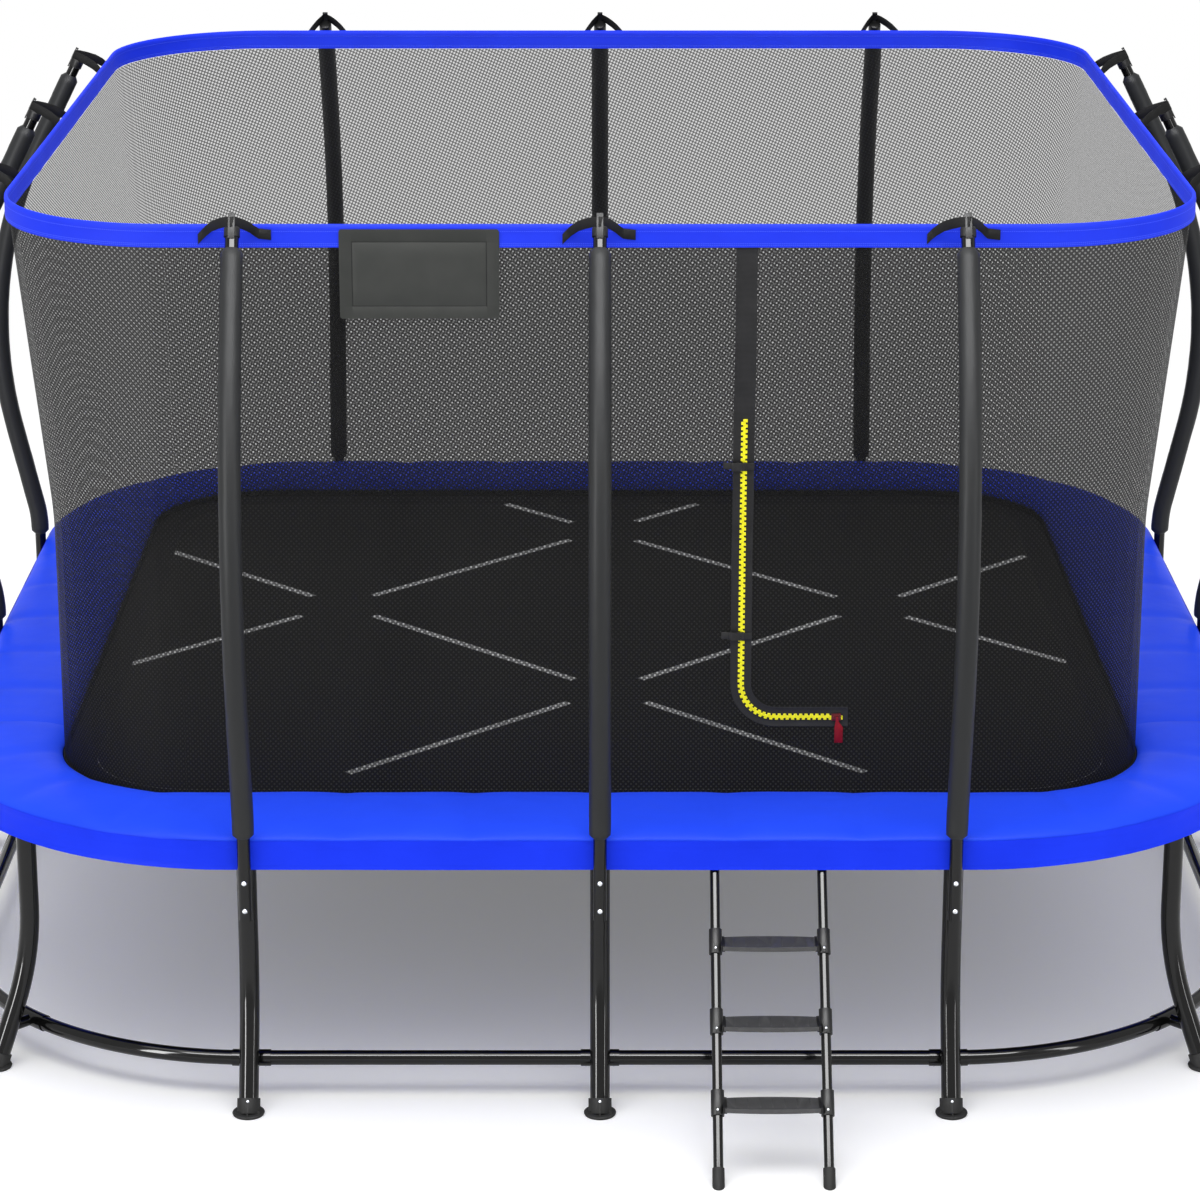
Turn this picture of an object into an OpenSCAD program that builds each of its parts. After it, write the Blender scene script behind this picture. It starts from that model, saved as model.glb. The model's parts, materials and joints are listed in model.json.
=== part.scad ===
// Square trampoline with curved poles, a net enclosure, a padded spring cover and a hook-on ladder.
// Millimetres, +Z up, front (the doorway and ladder) towards -Y. The origin is on the floor, under
// the middle of everything, ladder included. The tubes, sockets and legs are real bent tubes.

/* [Frame] */
// Distance between neighbouring poles on one side
pole_pitch = 1000; // [900:10:1100]
// Radius of the frame's rounded corners, on the rail's centre line
corner_r = 940; // [900:10:1000]
// Height of the top rail's centre line above the floor
rail_h = 748; // [700:1:900]
// Outside diameter of the top rail tube
rail_d = 48; // [40:1:50]
// Wall of the frame's tubes
tube_wall = 2; // [1.5:0.1:2.5]
// Outside diameter of the leg tube
leg_d = 57; // [50:1:60]
// Radius of the bend in each leg
leg_bend_r = 700; // [500:10:900]
// Angle that each leg's lower part leans out
leg_lean = 25; // [18:1:28]
// How far each foot stands outside the top rail
leg_splay = 145; // [120:1:180]
// Outside diameter of the foot disc
foot_d = 92; // [80:1:110]

/* [Base rail] */
// Outside diameter of the base rail tube
base_d = 43; // [35:1:46]
// Height of the base rail's centre line above the floor
base_h = 110; // [90:1:140]
// How far the base rail lies outside the top rail, seen from above
base_out = 5; // [0:1:15]

/* [Poles] */
// Outside diameter of the pole tube
pole_d = 38; // [32:1:40]
// Wall of the pole tube
pole_wall = 1.5; // [1.2:0.1:2]
// Thickness of the spacer between a leg and its pole
spacer_t = 12.5; // [12:0.5:16]
// How far the pole's lower end hangs below the top rail's centre line
pole_below = 188; // [180:1:208]
// Height above the top rail's centre line at which the pole starts to lean out
pole_lean_up = 82; // [70:1:132]
// Angle that the pole leans out
pole_lean = 12.5; // [8:0.5:15]
// Radius of the bend where the pole starts to lean out
pole_lean_r = 400; // [300:10:500]
// Height at which the long inward curve starts
pole_curve_h = 1200; // [1150:10:1300]
// Radius of the long inward curve
pole_curve_r = 1500; // [1300:10:1600]
// Angle that the pole's tip leans in
pole_tip_lean = 27; // [22:0.5:30]
// Height of the pole's tip above the floor
pole_top_h = 2500; // [2400:1:2600]
// Outside diameter of the foam sleeve
sleeve_d = 62; // [56:1:66]
// Bare length of tube above the foam sleeve
sleeve_bare = 55; // [40:1:80]

/* [Net] */
// How far the net's bottom edge lies inside the top rail's centre line
net_low_in = 335; // [334:1:345]
// How far the net's top edge lies inside the top rail's centre line
net_top_in = 240; // [220:1:260]
// Height of the net's top edge above the floor
net_top_h = 2493; // [2400:1:2600]
// Height at which the net starts to flare out
net_flare_h = 1540; // [1400:10:1700]
// Height of the top band
band_h = 65; // [50:1:80]
// Pitch of the net's gaps
net_pitch = 160; // [120:10:220]
// Width of the strands between the net's gaps
net_strand = 34; // [20:1:50]

/* [Jumping mat] */
// Distance that the springs bridge, from the mat's sewn edge to the rail's centre line
mat_in = 250; // [240:1:290]
// Width of the doubled hem around the mat
hem_w = 180; // [150:1:200]
// Thickness of the mat's cloth
mat_t = 3; // [2:0.5:4]
// Number of springs from the middle of a side to its socket
springs_half_side = 7; // [5:1:7]

/* [Pad] */
// How far the pad reaches out past the top rail tube
pad_over = 12; // [10:0.5:14]
// How much tighter the pad's outer corners are than the rail's
pad_tighter = 10; // [0:5:40]
// How far the pad's inner edge lies inside the top rail's centre line
pad_in = 328; // [300:1:332]
// Thickness of the foam pad at its middle
pad_t = 36; // [25:1:45]
// How far the skirt hangs down below the pad
skirt_drop = 80.5; // [60:0.5:100]

/* [Ladder] */
// Distance between the ladder's side rails
ladder_w = 303; // [260:1:360]
// Middle of the ladder, measured from the middle of the front
ladder_x = 475; // [440:1:520]
// Angle of the ladder from upright
ladder_lean = 40.5; // [38:0.5:41]
// Outside diameter of the ladder's side rails
ladder_d = 28; // [25:1:30]
// Distance between treads along the ladder
tread_pitch = 232; // [200:1:245]
// Depth of a tread, front to back
tread_depth = 84; // [70:1:95]

/* [Doorway] */
// Position of the upright zip, measured from the middle of the front
zip_x = 405; // [380:1:430]
// Height of the zip's upper end
zip_top_h = 1926; // [1800:1:2100]
// Height of the zip's level run
zip_low_h = 1030; // [980:1:1100]
// Length of the zip's level run, measured from the upright
zip_run = 290; // [260:1:320]

/* [Hidden] */
$fn = 48;

seat = 0.3;                                    // running gap between parts that only rest together
butt = 2;                                      // half the gap between two tube ends in a socket
rail_half = pole_pitch + corner_r;
pole_low_h = rail_h - pole_below;
pole_lean_h = rail_h + pole_lean_up;
net_low_half = rail_half - net_low_in;
net_top_half = rail_half - net_top_in;
mat_half = rail_half - mat_in;
pad_in_half = rail_half - pad_in;
pad_out_half = rail_half + rail_d/2 + pad_over;
pad_out_r = corner_r - pad_tighter;
base_half = rail_half + base_out;
base_r = corner_r + base_out;
pole_half = rail_half + leg_d/2 + spacer_t + pole_d/2;
socket_len = 160;
socket_wall = 2.7;
socket_d = rail_d + 2*seat + 2*socket_wall;
leg_top = rail_h - socket_d/2 - 1;
leg_bend_h = leg_bend_r*sin(leg_lean)
    + (leg_splay - leg_bend_r*(1 - cos(leg_lean)))/tan(leg_lean);
foot_floor = 14;                               // solid sole under the leg tube's end
leg_low_len = (leg_bend_h - leg_bend_r*sin(leg_lean))/cos(leg_lean) - foot_floor - seat;
LEG = [[leg_top - leg_bend_h, leg_lean, leg_bend_r, leg_d, tube_wall],
       [leg_low_len, 0, 0, leg_d, tube_wall]];
bolt_heights = [rail_h - 156, rail_h - 72];

// Pole path, from its lower end: straight, lean, straight, long curve, straight tip.
lean_run = (pole_curve_h - pole_lean_h - pole_lean_r*sin(pole_lean))/cos(pole_lean);
tip_run = (pole_top_h - pole_curve_h - pole_curve_r*(sin(pole_lean) + sin(pole_tip_lean)))
    /cos(pole_tip_lean);
lap = 60;                                      // overlap of the lower pole inside the upper one
spigot_d = pole_d - 2*pole_wall - 2*seat;
sleeve_h = pole_lean_h - 24;
sleeve_wall = (sleeve_d - pole_d)/2 - seat;
POLE_LOW = [[pole_lean_h - pole_low_h, pole_lean, pole_lean_r, pole_d, pole_wall],
            [lean_run - lap, 0, 0, pole_d, pole_wall]];
POLE_UP = [[pole_lean_h - pole_low_h, pole_lean, pole_lean_r, 0, 0],
           [lean_run - lap, 0, 0, 0, 0],
           [lap, -(pole_lean + pole_tip_lean), pole_curve_r, pole_d, pole_wall],
           [tip_run, 0, 0, pole_d, pole_wall]];
SLEEVE = [[sleeve_h - pole_low_h, 0, 0, 0, 0],
          [pole_lean_h - sleeve_h, pole_lean, pole_lean_r, sleeve_d, sleeve_wall],
          [lean_run, -(pole_lean + pole_tip_lean), pole_curve_r, sleeve_d, sleeve_wall],
          [tip_run - sleeve_bare, 0, 0, sleeve_d, sleeve_wall]];
POLE_PATH = [for (s = POLE_UP) [s[0], s[1], s[2], 0, 0]];
// Distance from the pole's own line in to its tip.
tip_in = pole_curve_r*(1 - cos(pole_tip_lean)) + tip_run*sin(pole_tip_lean)
    - pole_lean_r*(1 - cos(pole_lean)) - lean_run*sin(pole_lean) - pole_curve_r*(1 - cos(pole_lean));
tip_half = pole_half - tip_in;
// The sleeve's furthest reach, where the long curve stands upright.
sleeve_reach = pole_half + pole_lean_r*(1 - cos(pole_lean)) + lean_run*sin(pole_lean)
    + pole_curve_r*(1 - cos(pole_lean)) + sleeve_d/2;

// Soft parts share one corner centre, so their gaps stay even round the corners.
soft_c = pole_pitch + 200;
net_t = 2;
net_slope = atan((net_top_half - net_low_half)/(net_top_h - net_flare_h));
band_t = 12;
mat_h = rail_h + 21;                           // upper face of the mat and its hem
hem_t = 5;
hem_in_half = mat_half - hem_w;
pad_low_h = mat_h + 11.5;
skirt_low_h = pad_low_h - skirt_drop;
pad_top_h = pad_low_h + pad_t;
skirt_t = 3;
spring_pitch = (pole_pitch - socket_len)/springs_half_side;
spring_d = 18;
spring_h = mat_h - 2.5;
ring_len = 34;

// Ladder: its axis passes below the top rail, so that the hooks reach up behind the skirt.
ladder_drop = 25;
ladder_len = (rail_h - ladder_drop*sin(ladder_lean))/cos(ladder_lean);
ladder_start = 36;
ladder_cap_t = 6;
ladder_foot_y = -rail_half + ladder_drop*cos(ladder_lean) - ladder_len*sin(ladder_lean);
ladder_reach = -ladder_foot_y + (ladder_d/2 + 3)/cos(ladder_lean);
centre_y = (ladder_reach - sleeve_reach)/2;

// ---------------------------------------------------------------- placing
module centred() translate([0, centre_y, 0]) children();
module each_side() for (a = [0:90:270]) rotate([0, 0, a]) children();
// Twelve places, three to a side. The child's -Y points outwards.
module each_pole(half) for (a = [0:90:270], x = [-1, 0, 1]) rotate([0, 0, a])
    translate([x*pole_pitch, -half, 0]) children();
// Four places, one to a corner. The child's -Y points outwards.
module each_corner(r) each_side() translate([-pole_pitch, -pole_pitch, 0]) rotate([0, 0, -45])
    translate([0, -r, 0]) children();
module each_leg() { each_pole(rail_half) children(); each_corner(corner_r) children(); }
module along_pole(steps) each_pole(pole_half) translate([0, 0, pole_low_h]) run(steps) children();

// ---------------------------------------------------------------- tubes
module tube(d, wall, len) linear_extrude(len) difference() { circle(d=d); circle(d=d - 2*wall); }
module arc_tube(d, wall, r, angle) rotate_extrude(angle=angle, $fn=180) translate([r, 0])
    difference() { circle(d=d, $fn=48); circle(d=d - 2*wall, $fn=48); }
module arc_rod(d, r, angle) rotate_extrude(angle=angle, $fn=180) translate([r, 0]) circle(d=d, $fn=48);

// A bent tube that grows along +Z. Each step is [straight length, bend, bend radius, diameter,
// wall]. A bend above 0 leans towards -Y. A diameter of 0 draws nothing. Children go to its end.
// A bend is a hair fuller than the straights, which reach into it at each end.
swell = 0.3;
reach = 1;
module piece(s, back) {
    out = s[1] > 0 ? 1 : -1;
    turn = abs(s[1]);
    if (s[0] > 0) translate([0, 0, -back]) tube(s[3] - swell, s[4] - swell, s[0] + back + (turn > 0 ? reach : 0));
    if (turn > 0) translate([0, -out*s[2], s[0]]) mirror([0, out < 0 ? 1 : 0, 0]) rotate([90, 0, 90])
        arc_tube(s[3], s[4], s[2], turn);
}
// The frame where step n starts.
module at_step(steps, n, i=0) {
    if (i < n) {
        s = steps[i];
        out = s[1] > 0 ? 1 : -1;
        turn = abs(s[1]);
        translate([0, -out*s[2]*(1 - cos(turn)), s[0] + s[2]*sin(turn)]) rotate([s[1], 0, 0])
            at_step(steps, n, i + 1) children();
    } else children();
}
module run(steps) {
    for (i = [0:len(steps) - 1]) if (steps[i][3] > 0) at_step(steps, i)
        piece(steps[i], i > 0 && steps[max(0, i - 1)][1] != 0 && steps[max(0, i - 1)][3] > 0 ? reach : 0);
    if ($children > 0) at_step(steps, len(steps)) children();
}

// Eight straight tubes between the sockets, and eight arcs from a socket to a corner.
module ring_straights(half, d, wall) each_side() for (x = [-pole_pitch, 0])
    translate([x + butt, -half, 0]) rotate([90, 0, 90]) tube(d, wall, pole_pitch - 2*butt);
module ring_corners(r, d, wall) {
    gap = butt/r*180/PI;
    each_side() translate([pole_pitch, -pole_pitch, 0]) for (a = [-90, -45])
        rotate([0, 0, a + gap]) arc_tube(d, wall, r, 45 - 2*gap);
}
// A sleeve round the ring at one leg: straight, straight to arc, or arc.
module sleeve_solid(kind, half, r, d, len) {
    turn = len/2/r*180/PI;
    if (kind == "middle") translate([-len/2, -half, 0]) rotate([90, 0, 90]) cylinder(d=d, h=len);
    if (kind == "end") translate([pole_pitch, 0, 0]) {
        translate([-len/2, -half, 0]) rotate([90, 0, 90]) cylinder(d=d, h=len/2);
        translate([0, -pole_pitch, 0]) rotate([0, 0, -90]) arc_rod(d, r, turn);
    }
    if (kind == "corner") translate([-pole_pitch, -pole_pitch, 0]) rotate([0, 0, -135 - turn])
        arc_rod(d, r, 2*turn);
}
// Every sleeve of one ring, each with a child branch that starts on the ring's centre line.
module sleeves(half, r, bore, wall, len) for (a = [0:90:270], kind = ["middle", "end", "far", "corner"])
    rotate([0, 0, a]) mirror([kind == "far" ? 1 : 0, 0, 0]) {
        k = kind == "far" ? "end" : kind;
        difference() {
            union() {
                sleeve_solid(k, half, r, bore + 2*wall, len);
                if (k == "corner") translate([-pole_pitch, -pole_pitch, 0]) rotate([0, 0, -45])
                    translate([0, -r, 0]) children();
                else translate([k == "end" ? pole_pitch : 0, -half, 0]) children();
            }
            sleeve_solid(k, half, r, bore, len + 10);
        }
    }

// ---------------------------------------------------------------- frame
module top_rail_straights() color("#1c1c1e") centred() translate([0, 0, rail_h])
    ring_straights(rail_half, rail_d, tube_wall);

module top_rail_corners() color("#1c1c1e") centred() translate([0, 0, rail_h])
    ring_corners(corner_r, rail_d, tube_wall);

// T-sockets: a sleeve round the rail ends and a stub that plugs into the leg.
module rail_sockets() color("#1c1c1e") centred() difference() {
    translate([0, 0, rail_h]) sleeves(rail_half, corner_r, rail_d + 2*seat, socket_wall, socket_len)
        translate([0, 0, -socket_d/2 - 60]) cylinder(d=leg_d - 2*tube_wall - 2*seat, h=socket_d/2 + 60);
    each_pole(rail_half) bolt_holes(-leg_d, 2*leg_d);
}

module leg_tube() translate([0, 0, leg_top]) mirror([0, 0, 1]) run(LEG);
module bolt_holes(y, depth) for (h = bolt_heights) translate([0, y, h]) rotate([-90, 0, 0])
    cylinder(d=8 + 2*seat, h=depth, $fn=24);

module side_legs() color("#1c1c1e") centred() each_pole(rail_half) difference() {
    leg_tube();
    bolt_holes(-leg_d, 2*leg_d);
}
module corner_legs() color("#1c1c1e") centred() each_corner(corner_r) leg_tube();

// A leaning frame at the foot: its +Z runs up the leg's axis from the floor.
module up_leg() translate([0, -leg_splay, 0]) rotate([-leg_lean, 0, 0]) children();
module foot_pads() color("#161616") centred() each_leg() difference() {
    union() {
        translate([0, -leg_splay, 0]) rotate_extrude() polygon(concat([[0, 0], [foot_d/2 - 2, 0]],
            [for (a = [-60:30:90]) [foot_d/2 - 5 + 5*cos(a), 5 + 4*sin(a)]], [[0, 9]]));
        up_leg() cylinder(d=leg_d + 9, h=44);
        for (a = [-60:60:60]) translate([0, -leg_splay, 0]) rotate([0, 0, a]) translate([-2, -foot_d/2 + 6, 4])
            cube([4, 14, 12]);
    }
    up_leg() translate([0, 0, foot_floor]) cylinder(d=leg_d + 2*seat, h=60);
    translate([0, -leg_splay, -50]) cube([200, 200, 100], center=true);
}
module foot_screws() color("#d8d8d8") centred() each_leg() up_leg() translate([0, -leg_d/2 - 4.5, 34])
    rotate([90, 0, 0]) button_head(9, 3);

// A low domed screw head on the plane z=0.
module button_head(d, h) {
    r = (d*d/4 + h*h)/(2*h);
    rotate_extrude() intersection() {
        translate([0, h - r]) circle(r=r);
        square([d/2, h]);
    }
}

// ---------------------------------------------------------------- base rail
module base_rail_straights() color("#1c1c1e") centred() translate([0, 0, base_h])
    ring_straights(base_half, base_d, tube_wall);
module base_rail_corners() color("#1c1c1e") centred() translate([0, 0, base_h])
    ring_corners(base_r, base_d, tube_wall);

// Tees: a sleeve round the base rail and a stub that is coped and welded to the leg.
tee_len = 110;
tee_branch = leg_splay - base_h*tan(leg_lean) - base_out;
module base_tees() color("#141414") centred() difference() {
    translate([0, 0, base_h]) sleeves(base_half, base_r, base_d + 2*seat, socket_wall, tee_len)
        rotate([90, 0, 0]) cylinder(d=34, h=tee_branch);
    each_leg() up_leg() cylinder(d=leg_d, h=300);
}
module base_tee_screws() color("#8a8a8a") centred() translate([0, 0, base_h - base_d/2 - seat - socket_wall])
    for (x = [-0.36, 0.36]) {
        each_pole(base_half) translate([x*tee_len, 0, 0]) mirror([0, 0, 1]) button_head(9, 3);
        each_corner(base_r) translate([x*tee_len, 0, 0]) mirror([0, 0, 1]) button_head(9, 3);
    }

// ---------------------------------------------------------------- poles
pole_axis = -(pole_half - rail_half);          // from the leg's axis out to the pole's axis
module pole_spacers() color("#101010") centred() each_pole(rail_half) for (h = bolt_heights)
    difference() {
        translate([-13, pole_axis + pole_d*0.2, h - 17]) cube([26, -pole_axis - leg_d*0.2 - pole_d*0.2, 34]);
        cylinder(d=leg_d, h=900);
        translate([0, pole_axis, 0]) cylinder(d=pole_d, h=900);
        bolt_holes(-leg_d*2, 3*leg_d);
    }
bolt_out = pole_axis - pole_d/2;               // outer face of the pole
module pole_bolts() color("#dcdcdc") centred() each_pole(rail_half) for (h = bolt_heights)
    translate([0, bolt_out, h]) rotate([-90, 0, 0]) {
        mirror([0, 0, 1]) button_head(15, 5);
        cylinder(d=8, h=leg_d/2 - bolt_out + 12, $fn=24);
    }
module pole_nuts() color("#b8b8b8") centred() each_pole(rail_half) for (h = bolt_heights)
    translate([0, leg_d/2 + seat, h]) rotate([-90, 0, 0]) difference() {
        union() {
            cylinder(d=17, h=1.6);
            translate([0, 0, 1.6]) cylinder(d=15, h=6.5, $fn=6);
        }
        translate([0, 0, -1]) cylinder(d=8 + 2*seat, h=12, $fn=24);
    }
// The lower pole's end is drawn down to a spigot that fills the upper pole.
module spigot() {
    translate([0, 0, -6]) tube(spigot_d, pole_wall, lap + 4);
    translate([0, 0, -5]) tube(pole_d - pole_wall, pole_wall + 0.5, 4);
}
module lower_poles() color("#1c1c1e") centred() difference() {
    along_pole(POLE_LOW) spigot();
    each_pole(pole_half) bolt_holes(-pole_d, 2*pole_d);
}
module upper_poles() color("#1c1c1e") centred() along_pole(POLE_UP);
module foam_sleeves() color("#3c3e3e") centred() along_pole(SLEEVE);

// Plastic cap with a tongue on its outer side that the strap hooks behind.
cap_d = pole_d + 6;
cap_len = 24;
cap_tongue = pole_d/2 + 1;                     // inner face of the tongue, from the pole's axis
module pole_caps() color("#0e0e0e") centred() along_pole(POLE_PATH) difference() {
    union() {
        translate([0, 0, -cap_len]) rotate_extrude() polygon([[0, 0], [cap_d/2, 0], [cap_d/2, cap_len],
            [cap_d/2 - 3, cap_len + 3.5], [0, cap_len + 4.5]]);
        translate([-9, -cap_tongue - 3.2, -cap_len - 8]) cube([18, 3.2, cap_len + 46]);
        translate([-9, -cap_tongue - 3.2, 34]) cube([18, 9, 3.2]);
    }
    translate([0, 0, -cap_len - 1]) cylinder(d=pole_d + 2*seat, h=cap_len + 1);
}

// Webbing from the band, up behind the cap's tongue, and back down to the band.
strap_w = 25;
strap_t = 2;
module cap_straps() color("#161616") centred() difference() {
    face = net_top_half + band_t/2 + seat;
    union() {
        along_pole(POLE_PATH) translate([0, 0, 5]) linear_extrude(strap_w) for (s = [-1, 1]) polygon([
            [0, 0.3 - cap_tongue], [s*9, 0.3 - cap_tongue], [s*72, 110], [s*70, 111], [s*7.6, 2.3 - cap_tongue],
            [0, 2.3 - cap_tongue]]);
        each_side() for (x = [-1, 0, 1], s = [-1, 1]) translate([x*pole_pitch + s*79 - 19, -face - strap_t,
            net_top_h - 31]) cube([38, strap_t, strap_w]);
    }
    cube([2*face, 2*face, 3*net_top_h], center=true);
}

// ---------------------------------------------------------------- net
// A profile in [distance from the centre, height], run round the rounded square. A seam of
// that width parts each straight length from the corner lengths.
module round_square_sides(seam=0) each_side() translate([seam - soft_c, 0, 0]) rotate([90, 0, 90])
    linear_extrude(2*(soft_c - seam)) mirror([1, 0]) children();
module round_square_corners() each_side() translate([soft_c, -soft_c, 0]) rotate([0, 0, -90])
    rotate_extrude(angle=90, $fn=180) translate([-soft_c, 0]) children();

module band_section() difference() {
    translate([net_top_half - band_t/2, net_top_h - band_h]) square([band_t, band_h]);
    translate([net_top_half - band_t/2 + 1.5, net_top_h - 14]) square([band_t - 3, 11.5]);
}
module top_band() color("#2440f5") centred() {
    round_square_sides(seat) band_section();
    round_square_corners() band_section();
}
module rod_section() translate([net_top_half, net_top_h - 8.5]) circle(d=8);
module hoop_rods() color("#e8e4d8") centred() {
    round_square_sides() rod_section();
    round_square_corners() rod_section();
}

net_low_h = mat_h + seat;
net_high_h = net_top_h - band_h - seat;
net_high_half = net_low_half + (net_high_h - net_flare_h)*tan(net_slope);
// One flat of net from z=0 up, with square gaps in whole rows and columns.
module net_flat(w, h) {
    cols = floor((w - net_strand)/net_pitch);
    rows = floor((h - net_strand)/net_pitch);
    gap = net_pitch - net_strand;
    linear_extrude(net_t) difference() {
        translate([-w/2, 0]) square([w, h]);
        for (i = [0:cols - 1], j = [0:rows - 1])
            translate([(i - cols/2)*net_pitch + net_strand/2, (h - rows*net_pitch + net_strand)/2 + j*net_pitch])
                square(gap);
    }
}
// The lower flat stands upright and the upper one flares out, with the fold between them.
module net_side() translate([0, -net_low_half, 0]) {
    translate([0, 0, net_low_h]) rotate([90, 0, 0]) net_flat(2*soft_c, net_flare_h - net_low_h - seat);
    translate([0, 0, net_flare_h]) rotate([90 + net_slope, 0, 0])
        net_flat(2*soft_c, (net_high_h - net_flare_h)/cos(net_slope));
}
module net_front() color("#262626") centred() net_side();
module net_right() color("#262626") centred() rotate([0, 0, 90]) net_side();
module net_back() color("#262626") centred() rotate([0, 0, 180]) net_side();
module net_left() color("#262626") centred() rotate([0, 0, 270]) net_side();
module net_corners() color("#262626") centred() round_square_corners() polygon([
    [net_low_half, net_low_h], [net_low_half + net_t, net_low_h], [net_low_half + net_t, net_flare_h],
    [net_high_half + net_t, net_high_h], [net_high_half, net_high_h], [net_low_half, net_flare_h]]);
module webbing_section() translate([net_low_half + net_t + seat, mat_h + seat]) square([3, 22]);
module net_foot_webbing() color("#181818") centred() {
    round_square_sides() webbing_section();
    round_square_corners() webbing_section();
}

// ---------------------------------------------------------------- doorway
// A frame on the front net: X along the net, Y up it, Z out of it. It starts at height h.
module on_net(h) translate([0, -net_low_half - net_t - seat
    - max(0, h - net_flare_h)*tan(net_slope), h]) rotate([h > net_flare_h - 1 ? 90 + net_slope : 90, 0, 0]) children();
zip_r = 100;
binding_w = 60;
binding_t = 1.6;
flare_run = 1/cos(net_slope);
module l_shape(w, t, x_end) {
    // Lower upright, rounded corner and level run.
    on_net(zip_low_h) linear_extrude(t) {
        translate([zip_x - w/2, zip_r]) square([w, net_flare_h - zip_low_h - zip_r]);
        translate([zip_x + zip_r, -w/2]) square([x_end - zip_r, w]);
        translate([zip_x + zip_r, zip_r]) intersection() {
            difference() { circle(r=zip_r + w/2); circle(r=zip_r - w/2); }
            translate([-300, -300]) square(300);
        }
    }
}
module door_binding() color("#1e1e1e") centred() {
    l_shape(binding_w, binding_t, zip_run + 20);
    on_net(net_flare_h) translate([zip_x - binding_w/2, 0, 0])
        cube([binding_w, (net_high_h - net_flare_h)*flare_run, binding_t]);
}
chain_w = 12;
chain_t = 2.2;
module zip_chain() color("#f2ef1c") centred() {
    translate([0, -binding_t - 0.05, 0]) l_shape(chain_w, chain_t, zip_run);
    translate([0, -binding_t - 0.05, 0]) on_net(net_flare_h) translate([zip_x - chain_w/2, 0, 0])
        cube([chain_w, (zip_top_h - net_flare_h)*flare_run, chain_t]);
}
slider_x = zip_x + zip_run - 14;
slider_y = -net_low_half - net_t - seat - binding_t;
// The slider straddles the chain. Its lugs hold the pull's pin.
module zip_slider() color("#7c0d12") centred() translate([slider_x, slider_y, zip_low_h]) difference() {
    union() {
        translate([-11, -6.4, -9.5]) cube([22, 6.1, 19]);
        for (x = [-7, 4]) translate([x, -10.4, -4]) cube([3, 5, 8]);
    }
    translate([-12, -chain_t - 0.8, -chain_w/2 - 0.6]) cube([24, chain_t + 1, chain_w + 1.2]);
    translate([-8, -8.4, 0]) rotate([0, 90, 0]) cylinder(d=2, h=16, $fn=24);
}
pull_w = 32;
pull_len = 78;
// A flat webbing tab with a metal eye that hangs on the slider's pin.
module zip_pull() color("#8a0f16") centred() translate([slider_x, slider_y - 8.4, zip_low_h]) {
    rotate([0, 90, 0]) translate([0, 0, -8]) cylinder(d=1.85, h=16, $fn=24);
    translate([-3.4, -1.2, -15]) cube([6.8, 2.4, 15]);
    translate([-pull_w/2, -1.5, -pull_len]) cube([pull_w, 3, pull_len - 14.5]);
}

// Side-release clips that bridge the zip. The socket half is fixed, the plug half pulls out.
clip_heights = [1276, 1787];
clip_w = 24;
clip_t = 9;
module clip_place(h) on_net(h) translate([zip_x, 0, binding_t + chain_t + 0.6]) children();
module clip_sockets() color("#0c0c0c") centred() for (h = clip_heights) clip_place(h) {
    difference() {
        translate([-34, -clip_w/2, 0]) cube([32, clip_w, clip_t]);
        translate([-26, -clip_w/2 + 2.4, 1.6]) cube([30, clip_w - 4.8, clip_t - 3.2]);
        for (s = [-1, 1]) translate([-20, s*clip_w/2 - 3, 2.4]) cube([9, 6, clip_t - 4.8]);
    }
    translate([-58, -10, -chain_t - 0.5]) cube([30, 20, 2]);
    translate([-34, -10, -chain_t - 0.5]) cube([6, 20, chain_t + 0.7]);
}
module clip_plug(h) clip_place(h) {
    translate([-1.6, -clip_w/2, 0]) cube([9, clip_w, clip_t]);
    for (s = [-1, 1]) translate([-22, s*6.6 - 1.6, 2.2]) cube([22, 3.2, clip_t - 4.4]);
    translate([-19, -1.5, 2.2]) cube([19, 3, clip_t - 4.4]);
    translate([6, -10, 2]) cube([24, 20, 2]);
}
module lower_clip_plug() color("#0c0c0c") centred() clip_plug(clip_heights[0]);
module upper_clip_plug() color("#0c0c0c") centred() clip_plug(clip_heights[1]);

panel_w = 441;
panel_h = 251;
panel_x = -497;
module blank_panel() color("#3e4040") centred()
    translate([panel_x - panel_w/2, -net_top_half - band_t/2 - seat - 4, net_top_h - 13 - panel_h])
        cube([panel_w, 4, panel_h]);

// ---------------------------------------------------------------- mat and springs
// The outline of a rounded square whose corners are centred on soft_c.
module round_square(half) {
    r = half - soft_c;
    square([2*half, 2*soft_c], center=true);
    square([2*soft_c, 2*half], center=true);
    for (x = [-1, 1], y = [-1, 1]) translate([x*soft_c, y*soft_c]) circle(r=r, $fn=96);
}
module mat() color("#1b1c1d") centred() translate([0, 0, mat_h - 1 - mat_t]) linear_extrude(mat_t)
    round_square(hem_in_half - seat);
module hem_section() translate([hem_in_half, mat_h - hem_t]) square([hem_w, hem_t]);
module mat_hem() color("#151617") centred() {
    round_square_sides(seat) hem_section();
    round_square_corners() hem_section();
}

// Nearest point of the mat's edge to a point on the rail, and the distance between them.
function edge_normal(p) = p[0] > soft_c && p[1] > soft_c
    ? (p - [soft_c, soft_c])/norm(p - [soft_c, soft_c]) : (p[0] > p[1] ? [1, 0] : [0, 1]);
function edge_point(p, half) = let (n = edge_normal(p))
    p[0] > soft_c && p[1] > soft_c ? [soft_c, soft_c] + n*(half - soft_c)
    : [n[0] > 0 ? half : p[0], n[1] > 0 ? half : p[1]];
spring_wire = 4;
hook_low = spring_h - spring_wire/2 - rail_h;  // lower side of a hook, above the rail's axis
hook_in = sqrt(rail_d*rail_d/4 - hook_low*hook_low);           // where a hook meets the rail
ring_in = sqrt(rail_d*rail_d/4 - pow(spring_h - rail_h, 2));   // where a ring's own line meets it
corner_turns = [9, 17, 25, 33, 57, 65, 73, 81];
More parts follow.
